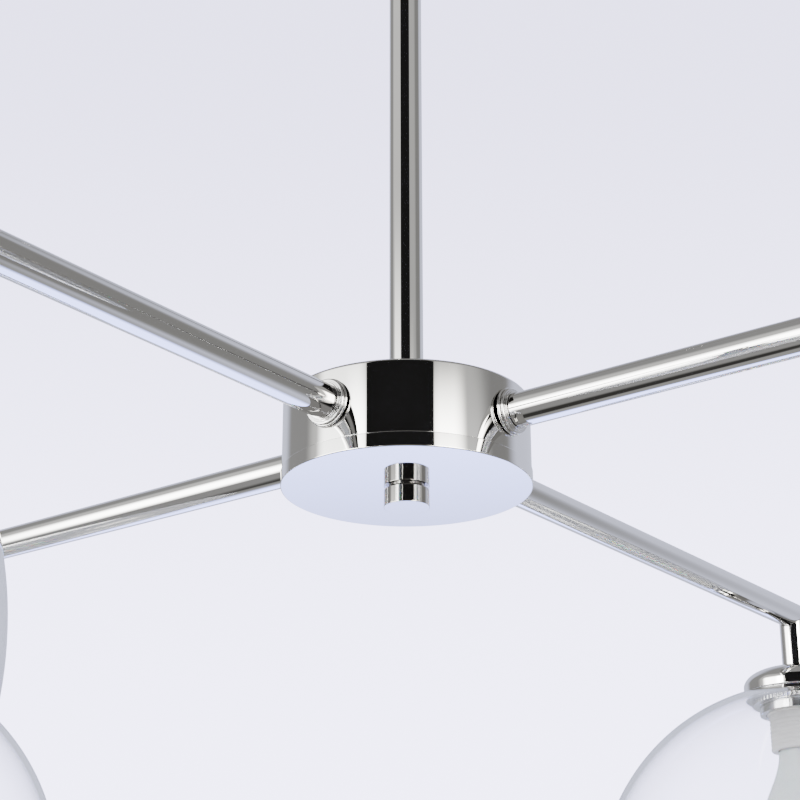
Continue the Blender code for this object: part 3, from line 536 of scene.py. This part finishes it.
def swivel_eye():
    shoulder = span("stem_upper")[1] + GAP - PIVOT_Z
    end = span("swivel_eye")[0] - PIVOT_Z
    outline = [
        (0, end), (STEM_PLUG, end, 0.3 * MM), (STEM_PLUG, shoulder, 0.1 * MM),
        (STEM_RADIUS, shoulder, 0.4 * MM), (STEM_RADIUS, 0), (0, 0),
    ]
    tools = [
        (plain_cylinder(EYE_RADIUS, -EYE_HALF, EYE_HALF, MEDIUM), ALONG_X, "UNION"),
        (plain_cylinder(EYE_BORE, 2 * end, 2 * EYE_RADIUS), at(), "DIFFERENCE"),
        pin_hole(),
    ]
    eye = cut_mesh(lathe("swivel_eye_fine", outline, closed=False), tools, SWIVEL_EDGE)
    show_node("swivel_eye", eye, TURNED_NICKEL, at(z=PIVOT_Z))


def swivel_screws():
    face = YOKE_RADIUS + GAP
    for index, side in ((1, 1), (2, -1)):
        node = f"swivel_screw_{index}"
        ends = [abs(corner.x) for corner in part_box(node)]
        tip, head = min(ends) - face, max(ends) - face
        outline = [
            (0, tip), (SCREW_SHANK, tip, 0.4 * MM), (SCREW_SHANK, 0), (SCREW_HEAD, 0, 0.1 * MM),
            (SCREW_HEAD, head * 0.45, 0.4 * MM), (SCREW_CROWN, head * 0.8, 1.2 * MM), (0, head),
        ]
        slot = prism("slot", rounded_bar(*SCREW_SLOT), head - SCREW_SLOT_DEPTH, head + PAST)
        turned = lathe("swivel_screw_fine", outline, 48, closed=False)
        screw = cut_mesh(turned, [(slot, at(), "DIFFERENCE")], SCREW_EDGE)
        turn = Matrix.Rotation(side * math.pi / 2, 4, "Y")
        show_node(node, screw, TURNED_NICKEL, at(x=side * face, z=PIVOT_Z) @ turn)


# Stem

COUPLING_BORE = 3.9 * MM


def tube(name, radius, low, high, fillet):
    inner = radius - TUBE_WALL
    outline = [(inner, low), (radius, low, fillet), (radius, high, fillet), (inner, high)]
    return lathe(name, outline, FINE)


def stem_pieces():
    for node in ("stem_upper", "stem_lower"):
        show_node(node, tube(f"{node}_fine", STEM_RADIUS, *span(node), 0.25 * MM), NICKEL, at())
    bead_high = span("stem_upper")[0] - GAP
    bead_low = span("stem_lower")[1] + GAP
    low, high = span("stem_coupling")
    bulge = (bead_high - bead_low) / 2
    middle = (bead_high + bead_low) / 2
    outline = [(COUPLING_BORE, low), (STEM_PLUG, low, 0.3 * MM), (STEM_PLUG, bead_low, 0.1 * MM)]
    outline += arc((half_width("stem_coupling") - bulge, middle), bulge, -90, 90, 16)
    outline += [(STEM_PLUG, bead_high, 0.1 * MM), (STEM_PLUG, high, 0.3 * MM), (COUPLING_BORE, high)]
    show_node("stem_coupling", lathe("stem_coupling_fine", outline), TURNED_NICKEL, at())


# Hub

DRUM_WALL, DRUM_CORNER, DRUM_BORE = 1.5 * MM, 1.5 * MM, 6.5 * MM
DRUM_SIDES = 192
LID_WALL = 1.5 * MM
LID_SEAM = 0.04 * MM  # between the drum's foot and the lid's rim
LID_LEAN = 0.06 * MM  # the rim's lean towards its top
FINIAL_NECK_STEP, FINIAL_NECK_HEIGHT, FINIAL_DEPTH = 2.2 * MM, 0.65 * MM, 6.5 * MM


def hub_body():
    low, high = span("hub_body")
    radius = half_width("hub_body")
    inner, underside = radius - DRUM_WALL, high - DRUM_WALL
    outline = [
        (inner, low, 0.1 * MM), (radius, low, 0.15 * MM), (radius, high, DRUM_CORNER),
        (DRUM_BORE, high, 0.2 * MM), (DRUM_BORE, underside, 0.1 * MM), (inner, underside, 0.5 * MM),
    ]
    show_node("hub_body", lathe("hub_body_fine", outline, DRUM_SIDES), NICKEL, at())


def hub_lid():
    low, high = span("hub_lid")
    radius = half_width("hub_lid")
    rim_top = span("hub_body")[0] - LID_SEAM
    lip = half_width("hub_body") - DRUM_WALL - GAP
    inner, floor_top = lip - LID_WALL, low + LID_WALL
    outline = [
        (STUD_BORE, low, 0.1 * MM), (radius, low, 0.55 * MM), (radius - LID_LEAN, rim_top, 0.3 * MM),
        (lip, rim_top, 0.1 * MM), (lip, high), (inner, high), (inner, floor_top, 0.5 * MM),
        (STUD_BORE, floor_top),
    ]
    show_node("hub_lid", lathe("hub_lid_fine", outline, DRUM_SIDES), NICKEL, at())


def finial():
    low, high = span("finial")
    radius = half_width("finial")
    neck, shoulder, bottom = radius - FINIAL_NECK_STEP, high - FINIAL_NECK_HEIGHT, high - FINIAL_DEPTH
    outline = [
        (0, low), (radius, low, 0.35 * MM), (radius, shoulder, 0.25 * MM), (neck, shoulder, 0.1 * MM),
        (neck, high, 0.1 * MM), (STUD_BORE, high, 0.2 * MM), (STUD_BORE, bottom), (0, bottom),
    ]
    show_node("finial", lathe("finial_fine", outline, FINE, closed=False), TURNED_NICKEL, at())


# Arm pieces. Collar, arm and cap lie along Z from the hub's axis and are turned onto X

BEADS, BEAD_WIDTH, BEAD_STEP = 2, 1.25 * MM, 0.5 * MM
GROOVE_WIDTH, GROOVE_DEPTH = 0.4 * MM, 1.2 * MM
COLLAR_SPIGOT, COLLAR_NECK = 5 * MM, ARM_RADIUS + 0.7 * MM  # radii
CAP_ROUND = 1.1 * MM
DROP_SIDES, DROP_COPE_GAP, DROP_CHAMFER, DROP_FOOT = 96, 0.12 * MM, 0.12 * MM, 0.25 * MM
CUP_SHOULDER, CUP_DOME, CUP_WALL, CUP_HOLE, CUP_STEPS = 10.5 * MM, 11 * MM, 1.5 * MM, 6.5 * MM, 24
HOLDER_BORE, HOLDER_THREAD, HOLDER_COLLAR = 14.1 * MM, 18.1 * MM, 9 * MM  # radii
HOLDER_SOCKET_DEPTH, HOLDER_COLLAR_HEIGHT = 25.6 * MM, 3 * MM
HOLDER_PITCH, HOLDER_THREAD_DEPTH = 2.5 * MM, 0.5 * MM
GLASS_THICK, GLASS_HOLE, GLASS_LAND, GLASS_MOUTH = 3 * MM, 20.5 * MM, 32 * MM, 80 * MM
GLASS_SIDES, GLASS_STEPS = 160, 72
CLAMP_BORE, CLAMP_SLEEVE, CLAMP_FLANGE = 19.85 * MM, 23.5 * MM, 3 * MM
CLAMP_FLUTES, CLAMP_FLUTE_DEPTH = 64, 0.5 * MM
BULB_RADIUS, BULB_NECK, BULB_GLASS, BULB_TURN = 30 * MM, 14 * MM, 1.0 * MM, 28  # the last in degrees
BULB_STEPS = 16
BASE_RADIUS, BASE_PITCH, BASE_THREAD_DEPTH = 13.1 * MM, 3.63 * MM, 0.9 * MM
INSULATOR_HEIGHT, INSULATOR_STEP = 5.5 * MM, 1.6 * MM


def collar_mesh():
    """Spigot, round beads with a groove after each, a neck, and the plug inside the tube."""
    low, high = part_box("arm_collar_1")
    place, radius, neck_end = half_width("hub_body") + GAP, half_height("arm_collar_1"), ARM_START - GAP
    outline = [(LEAD_BORE, low.x), (COLLAR_SPIGOT, low.x, 0.3 * MM), (COLLAR_SPIGOT, place, 0.1 * MM)]
    bulge = BEAD_WIDTH / 2
    for _ in range(BEADS):
        side, groove = radius - bulge, radius - GROOVE_DEPTH
        outline += [(side, place, 0.1 * MM)] + arc((side, place + bulge), bulge, -80, 80, 12)
        outline += [(side, place + BEAD_WIDTH, 0.1 * MM)]
        place += BEAD_WIDTH
        outline += [(groove, place, 0.1 * MM), (groove, place + GROOVE_WIDTH, 0.1 * MM)]
        place += GROOVE_WIDTH
        radius -= BEAD_STEP
    outline += [
        (COLLAR_NECK, place, 0.1 * MM), (COLLAR_NECK, neck_end, 0.2 * MM), (ARM_PLUG, neck_end, 0.1 * MM),
        (ARM_PLUG, high.x, 0.3 * MM), (LEAD_BORE, high.x),
    ]
    return lathe("arm_collar_fine", outline, FINE)


def cap_mesh():
    low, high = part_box("arm_cap_1")
    radius, face = half_height("arm_cap_1"), ARM_END + GAP
    outline = [
        (0, low.x), (ARM_PLUG, low.x, 0.3 * MM), (ARM_PLUG, face, 0.1 * MM), (radius, face, 0.25 * MM),
        (radius, high.x, CAP_ROUND), (0, high.x),
    ]
    return lathe("arm_cap_fine", outline, FINE, closed=False)


def drop_mesh():
    """A tube coped to sit under the arm's round."""
    bottom = arm_span("drop_1")[0]
    reach = ARM_RADIUS + DROP_COPE_GAP
    inner, outer = DROP_RADIUS - TUBE_WALL, DROP_RADIUS

    def under_arm(radius, along):
        return -math.sqrt(max(reach**2 - (radius * along) ** 2, 0.0))

    verts, faces = [], []
    for side in range(DROP_SIDES):
        angle = 2 * math.pi * side / DROP_SIDES
        across, along = math.cos(angle), math.sin(angle)
        shoulder = outer - DROP_CHAMFER
        ring = [
            (inner, under_arm(inner, along)), (inner, bottom + DROP_CHAMFER), (inner + DROP_CHAMFER, bottom),
            (outer - DROP_FOOT, bottom), (outer, bottom + DROP_FOOT),
            (outer, under_arm(outer, along) - DROP_CHAMFER), (shoulder, under_arm(shoulder, along)),
        ]
        verts += [(radius * across, radius * along, height) for radius, height in ring]
    count = len(ring)
    for side in range(DROP_SIDES):
        after = (side + 1) % DROP_SIDES
        for step in range(count):
            up = (step + 1) % count
            faces.append([side * count + step, after * count + step, after * count + up, side * count + up])
    mesh = bpy.data.meshes.new("drop_fine")
    mesh.from_pydata(verts, [], faces)
    return smooth_by_angle(mesh, 25)


def cup_mesh():
    skirt, top = arm_span("shade_cup_1")
    radius = half_width("shade_cup_1")
    outer, inner = [], []
    for step in range(CUP_STEPS + 1):
        angle = math.pi / 2 * step / CUP_STEPS
        wide = CUP_SHOULDER + (radius - CUP_SHOULDER) * math.sin(angle)
        height = top - CUP_DOME * (1 - math.cos(angle))
        outer.append((wide, height))
        inner.append((wide - CUP_WALL * math.sin(angle), height - CUP_WALL * math.cos(angle)))
    outline = [(radius - CUP_WALL, skirt, 0.3 * MM), (radius, skirt, 0.5 * MM)] + outer[::-1]
    outline += [(CUP_HOLE, top, 0.2 * MM), (CUP_HOLE, top - CUP_WALL, 0.1 * MM)] + inner
    return lathe("shade_cup_fine", outline, FINE)


def holder_mesh():
    """Lampholder: a thread below the ring, the full body, a collar and the neck in the drop."""
    mouth, neck_top = arm_span("lampholder_1")
    radius = half_width("lampholder_1")
    thread_end = arm_span("shade_ring_1")[0]
    top = arm_span("shade_cup_1")[1] - CUP_WALL - GAP
    socket_top = mouth + HOLDER_SOCKET_DEPTH
    shoulder = top - HOLDER_COLLAR_HEIGHT
    full = shoulder - (radius - HOLDER_COLLAR)
    outline = [(HOLDER_BORE, mouth, 0.8 * MM), (HOLDER_THREAD, mouth, 0.8 * MM)]
    root = HOLDER_THREAD - HOLDER_THREAD_DEPTH
    place = mouth + 2 * MM
    while place + HOLDER_PITCH < thread_end - 1 * MM:
        outline += [
            (HOLDER_THREAD, place, 0.25 * MM), (root, place + 0.35 * HOLDER_PITCH, 0.25 * MM),
            (HOLDER_THREAD, place + 0.7 * HOLDER_PITCH, 0.25 * MM),
        ]
        place += HOLDER_PITCH
    outline += [
        (HOLDER_THREAD, thread_end, 0.2 * MM), (radius, thread_end, 0.3 * MM), (radius, full, 1.5 * MM),
        (HOLDER_COLLAR, shoulder, 1.0 * MM), (HOLDER_COLLAR, top, 0.2 * MM), (STEM_PLUG, top, 0.1 * MM),
        (STEM_PLUG, neck_top, 0.3 * MM), (LEAD_BORE, neck_top), (LEAD_BORE, socket_top),
        (HOLDER_BORE, socket_top, 0.5 * MM),
    ]
    return lathe("lampholder_fine", outline)


def shade_mesh():
    """A blown globe: a flat land round the top hole, and a fire-polished mouth."""
    top = arm_span("shade_1")[1]
    radius = half_width("shade_1")
    inside, lip = radius - GLASS_THICK, radius - GLASS_THICK / 2
    land_low = top - GLASS_THICK
    centre = (0, top - math.sqrt(radius**2 - GLASS_LAND**2))
    top_angle = math.degrees(math.acos(GLASS_LAND / radius))
    mouth_angle = -math.degrees(math.acos(GLASS_MOUTH / radius))
    inner_angle = math.degrees(math.asin((land_low - centre[1]) / inside))
    rim = mouth_angle + math.degrees(0.5 * GLASS_THICK / radius)
    lip_at = (lip * math.cos(math.radians(rim)), centre[1] + lip * math.sin(math.radians(rim)))
    outline = arc(centre, radius, rim, top_angle, GLASS_STEPS)[1:-1] + [(GLASS_LAND, top, 4 * MM)]
    outline += [(GLASS_HOLE, top, 1.0 * MM), (GLASS_HOLE, land_low, 1.0 * MM)]
    outline += arc(centre, inside, inner_angle, rim, GLASS_STEPS)[:-1]
    outline += arc(lip_at, GLASS_THICK / 2, rim - 180, rim, 14)
    return lathe("shade_fine", outline, GLASS_SIDES)


def ring_mesh():
    """Knurled clamping ring, about its own top."""
    radius, bottom = half_width("shade_ring_1"), -2 * half_height("shade_ring_1")
    outline = [
        (CLAMP_BORE, bottom, 0.3 * MM), (CLAMP_SLEEVE, bottom, 0.6 * MM),
        (CLAMP_SLEEVE, -CLAMP_FLANGE, 0.4 * MM), (radius, -CLAMP_FLANGE, 0.5 * MM), (radius, 0, 0.5 * MM),
        (CLAMP_BORE, 0, 0.3 * MM),
    ]
    turned = lathe("shade_ring_fine", outline, FLUTE_SIDES * CLAMP_FLUTES)
    return fluted(turned, CLAMP_FLUTES, CLAMP_FLUTE_DEPTH, radius - 0.7 * MM)


def envelope_mesh():
    """The bulb's glass: a globe that eases into a neck, with its foot inside the screw shell."""
    bottom = arm_span("bulb_1")[0]
    mouth = arm_span("lampholder_1")[0]
    foot = mouth - 1 * MM
    centre = (0, bottom + BULB_RADIUS)
    outer = arc(centre, BULB_RADIUS, -90, BULB_TURN, 48)[1:]
    wide, high = outer[-1]
    for step in range(1, BULB_STEPS):
        share = step / BULB_STEPS
        ease = share * share * (3 - 2 * share)
        blend = 0.55 * ease + 0.45 * math.sin(share * math.pi / 2)
        outer.append((wide + (BULB_NECK - wide) * blend, high + (foot - high) * share))
    outer += [(BULB_NECK, foot), (BASE_RADIUS - 0.6 * MM, mouth + 2 * MM)]
    inner = [(max(r - BULB_GLASS, 0.0), z + (BULB_GLASS if z < centre[1] else 0)) for r, z in outer]
    outline = [(0, bottom)] + outer + inner[::-1] + [(0, bottom + BULB_GLASS)]
    return lathe("bulb_fine", outline, closed=False)


def base_mesh(insulator):
    """The screw shell, up to where the insulator starts."""
    foot = arm_span("lampholder_1")[0] + 1 * MM
    root = BASE_RADIUS - BASE_THREAD_DEPTH
    outline = [(0, foot), (BASE_RADIUS - 0.4 * MM, foot, 0.2 * MM)]
    place = foot + 2 * MM
    while place + BASE_PITCH < insulator:
        outline += [(root, place, 0.6 * MM), (BASE_RADIUS, place + BASE_PITCH / 2, 0.8 * MM)]
        place += BASE_PITCH
    top = insulator + INSULATOR_STEP
    outline += [(root, insulator, 0.4 * MM), (9 * MM, top, 0.8 * MM), (0, top)]
    return lathe("bulb_base_fine", outline, closed=False)


def tip_mesh(insulator):
    """The insulator with its contact."""
    top = arm_span("bulb_1")[1]
    low = insulator + INSULATOR_STEP + 0.05 * MM
    outline = [
        (0, low), (8.5 * MM, low, 0.4 * MM), (5 * MM, top - 1.2 * MM, 0.5 * MM), (4 * MM, top, 0.8 * MM),
        (0, top),
    ]
    return lathe("bulb_tip_fine", outline, 48, closed=False)


def arm_pieces():
    insulator = arm_span("bulb_1")[1] - INSULATOR_HEIGHT
    on_drop = at(x=DROP_AXIS)
    ring_place = on_drop @ at(z=arm_span("shade_ring_1")[1])
    pieces = [
        ("arm_collar", collar_mesh(), TURNED_NICKEL, ALONG_X),
        ("arm", tube("arm_fine", ARM_RADIUS, ARM_START, ARM_END, 0.2 * MM), NICKEL, ALONG_X),
        ("arm_cap", cap_mesh(), TURNED_NICKEL, ALONG_X), ("drop", drop_mesh(), NICKEL, on_drop),
        ("shade_cup", cup_mesh(), TURNED_NICKEL, on_drop), ("lampholder", holder_mesh(), PHENOLIC, on_drop),
        ("shade", shade_mesh(), GLASS, on_drop), ("shade_ring", ring_mesh(), TURNED_NICKEL, ring_place),
        ("bulb", envelope_mesh(), FROSTED, on_drop),
    ]
    base, tip = base_mesh(insulator), tip_mesh(insulator)
    for i in ARMS:
        place = arm_matrix(i)
        for name, mesh, material, local in pieces:
            show_node(f"{name}_{i}", mesh, material, place @ local)
        show(f"bulb_base_{i}_fine", base, TURNED_NICKEL, f"bulb_{i}", place @ on_drop)
        show(f"bulb_tip_{i}_fine", tip, PHENOLIC, f"bulb_{i}", place @ on_drop)


def carried_over():
    """CAD nodes that stay shown get the same finishes."""
    for name, node in frame["nodes"].items():
        if node.hide_render:
            continue
        material = INSULATION if name in ("wiring", "lead_upper") else STEEL
        node.data.materials.clear()
        node.data.materials.append(material)


# Studio

CAMERA_TURN = math.radians(36.72)  # the camera's azimuth from -Y towards +X
CAMERA_DISTANCE = 819.3 * MM  # level distance to the hub's axis
CAMERA_BELOW = 276.5 * MM  # below the hub's underside
CAMERA_PITCH, CAMERA_YAW, CAMERA_ROLL = (math.radians(x) for x in (21.325, -0.210, -0.092))
CAMERA_LENS, SENSOR_WIDTH = 85.5, 36.0  # mm
KEY_PLACE, KEY_AIM = Vector((-1.6, -1.6, 0.4)), Vector((0, 0, -0.7))  # the place turns with the camera
KEY_SIZE, KEY_POWER = 1.6, 30

# The backdrop, as the camera sees it: its colour near the level of the eye and away from
# it, and the band between them (middle, half height and soft edge, in degrees)
BACKDROP_LOW, BACKDROP_HIGH, BACKDROP_BAND = (5.0, 4.85, 6.9), (2.9, 2.8, 4.1), (0, 21, 12)
FILL = (2.7, 2.7, 2.9)  # what matt surfaces are lit by
NEUTRAL, COOL, WARM = (1.0, 1.0, 0.985), (0.86, 0.90, 1.14), (1.0, 0.99, 0.93)
SKY = (0.76, 0.88, 1.85)
ROOM = 0.36  # what the metal sees where no panel is
# Panels round the object, as the metal sees them: centre azimuth and elevation, half
# sizes, soft edges (degrees; azimuth from the camera's side, to its right), brightness
# and tint. A later panel covers an earlier one
PANELS = {
    "grey_wall_right": (86, 5, 19, 60, 7, 10, 0.29, NEUTRAL),
    "pale_wall_behind": (166, 0, 54, 50, 9, 12, 1.2, COOL),
    "lower_ground": (0, -76, 200, 26, 1, 9, 0.42, NEUTRAL),
    "floor_behind": (176, -36, 27, 18, 13, 4, 4.3, SKY),
    "left_wall": (-66, 25, 32, 20, 7, 8, 0.95, NEUTRAL),
    "right_wall": (46, 27, 22, 14, 10, 7, 0.62, NEUTRAL),
    "right_low_wall": (60, 0, 16, 21, 10, 2.5, 1.3, NEUTRAL),
    "left_softbox": (-62, 3, 23, 15, 6, 10, 16.0, NEUTRAL),
    "left_window": (-45, 0, 9, 20.2, 6, 2.5, 28.0, NEUTRAL),
    "right_softbox": (37, 0, 13, 17, 8, 8, 6.0, WARM),
    "right_window": (37, 6, 13, 14.2, 8, 2.5, 28.0, WARM),
    "dark_floor_left": (-102, -58, 20, 12, 9, 6, 0.05, WARM),
    "dark_gap_behind": (140, -29, 15, 3, 6, 3, 0.12, NEUTRAL),
    "black_screen": (-6.0, 32, 31, 26, 0.8, 2, 0.014, NEUTRAL),
    "black_screen_low": (-4, -22, 39, 9, 0.8, 3, 0.014, NEUTRAL),
}


def studio_world():
    world = bpy.data.worlds.new("studio")
    bpy.context.scene.world = world
    world.use_nodes = True
    tree = world.node_tree
    tree.nodes.clear()
    link = tree.links.new

    def maths(operation, *values):
        node = tree.nodes.new("ShaderNodeMath")
        node.operation = operation
        for value, socket in zip(values, node.inputs):
            if isinstance(value, (int, float)):
                socket.default_value = value
            else:
                link(value, socket)
        return node.outputs["Value"]

    def within(value, centre, half, soft):
        """1 inside half of the centre, falling to 0 over the soft edge."""
        away = maths("ABSOLUTE", maths("SUBTRACT", value, math.radians(centre)))
        node = tree.nodes.new("ShaderNodeMapRange")
        node.interpolation_type = "SMOOTHSTEP"
        link(away, node.inputs["Value"])
        node.inputs["From Min"].default_value = math.radians(half + soft)
        node.inputs["From Max"].default_value = math.radians(max(half - soft, 0))
        return node.outputs["Result"]

    def mixed(factor, first, second):
        node = tree.nodes.new("ShaderNodeMix")
        node.data_type = "RGBA"
        link(factor, node.inputs["Factor"])
        for value, socket in ((first, node.inputs["A"]), (second, node.inputs["B"])):
            if isinstance(value, tuple):
                socket.default_value = (*value, 1.0)
            else:
                link(value, socket)
        return node.outputs["Result"]

    parts = tree.nodes.new("ShaderNodeSeparateXYZ")
    link(tree.nodes.new("ShaderNodeTexCoord").outputs["Generated"], parts.inputs["Vector"])
    heading = maths("ARCTAN2", parts.outputs["X"], maths("MULTIPLY", parts.outputs["Y"], -1.0))
    elevation = maths("ARCSINE", parts.outputs["Z"])
    seen = (ROOM, ROOM, ROOM)
    for azimuth, height, half_az, half_el, soft_az, soft_el, value, tint in PANELS.values():
        turned = maths("SUBTRACT", heading, CAMERA_TURN + math.radians(azimuth))
        away = maths("ARCCOSINE", maths("COSINE", turned))
        across, upright = within(away, 0, half_az, soft_az), within(elevation, height, half_el, soft_el)
        seen = mixed(maths("MULTIPLY", across, upright), seen, tuple(value * part for part in tint))
    path = tree.nodes.new("ShaderNodeLightPath")
    glossy = maths("GREATER_THAN", path.outputs["Glossy Depth"], 0.5)
    diffuse = maths("GREATER_THAN", path.outputs["Diffuse Depth"], 0.5)
    backdrop = mixed(within(elevation, *BACKDROP_BAND), BACKDROP_HIGH, BACKDROP_LOW)
    colour = mixed(glossy, mixed(diffuse, backdrop, FILL), seen)
    background = tree.nodes.new("ShaderNodeBackground")
    link(colour, background.inputs["Color"])
    output = tree.nodes.new("ShaderNodeOutputWorld")
    link(background.outputs["Background"], output.inputs["Surface"])


FLOOR_Z = -2.4
FLOOR_SIZE, FLOOR_CORNER = 9.0, 9.0 / 2.01  # a corner of nearly half the size makes it round


def floor():
    """A pale plain floor that is clear from below, and that the metal sees as a panel instead."""
    outline = rounded_bar(FLOOR_SIZE, FLOOR_SIZE, FLOOR_CORNER, 32)
    mesh = prism("floor", outline, FLOOR_Z - 1 * MM, FLOOR_Z)
    obj = bpy.data.objects.new("floor", mesh)
    bpy.context.scene.collection.objects.link(obj)
    surface = Surface("floor", (0.86, 0.86, 0.89), 0.8)
    tree = surface.tree
    geometry = tree.nodes.new("ShaderNodeNewGeometry")
    facing = tree.nodes.new("ShaderNodeSeparateXYZ")
    tree.links.new(geometry.outputs["Normal"], facing.inputs["Vector"])
    clear = tree.nodes.new("ShaderNodeBsdfTransparent")
    mix = tree.nodes.new("ShaderNodeMixShader")
    tree.links.new(surface.maths("GREATER_THAN", facing.outputs["Z"], 0.5), mix.inputs["Fac"])
    tree.links.new(clear.outputs["BSDF"], mix.inputs[1])
    tree.links.new(surface.shader.outputs["BSDF"], mix.inputs[2])
    tree.links.new(mix.outputs["Shader"], tree.nodes["Material Output"].inputs["Surface"])
    mesh.materials.append(surface.material)
    obj.visible_glossy = False
    obj.visible_shadow = False


def camera():
    scene = bpy.context.scene
    data = bpy.data.cameras.new("camera")
    data.lens, data.sensor_width = CAMERA_LENS, SENSOR_WIDTH
    data.clip_start, data.clip_end = 0.01, 50
    obj = bpy.data.objects.new("camera", data)
    scene.collection.objects.link(obj)
    pitch, yaw, roll = CAMERA_PITCH, CAMERA_YAW, CAMERA_ROLL
    forward = Vector((math.sin(yaw) * math.cos(pitch), math.cos(yaw) * math.cos(pitch), math.sin(pitch)))
    right = Vector((math.cos(yaw), -math.sin(yaw), 0))
    upward = right.cross(forward)
    leaned = right * math.cos(roll) + upward * math.sin(roll)
    upward = upward * math.cos(roll) - right * math.sin(roll)
    turn = Matrix.Rotation(CAMERA_TURN, 3, "Z")
    axes = Matrix((turn @ leaned, turn @ upward, turn @ -forward)).transposed()
    place = turn @ Vector((0, -CAMERA_DISTANCE, 0))
    place.z = span("hub_lid")[0] - CAMERA_BELOW
    obj.matrix_world = Matrix.Translation(place) @ axes.to_4x4()
    scene.camera = obj


def key_light():
    """A large soft light from above the camera's left, which the mirrors don't show."""
    data = bpy.data.lights.new("key", "AREA")
    data.shape, data.size, data.energy = "DISK", KEY_SIZE, KEY_POWER
    obj = bpy.data.objects.new("key", data)
    bpy.context.scene.collection.objects.link(obj)
    place = Matrix.Rotation(CAMERA_TURN, 3, "Z") @ KEY_PLACE
    obj.location = place
    obj.rotation_mode = "QUATERNION"
    obj.rotation_quaternion = (KEY_AIM - place).to_track_quat("-Z", "Y")
    obj.visible_glossy = False
    obj.visible_camera = False


mounting_strap()
canopy()
canopy_ring()
swivel_yoke()
swivel_eye()
swivel_screws()
stem_pieces()
hub_body()
hub_lid()
finial()
arm_pieces()
carried_over()
studio_world()
floor()
key_light()
camera()
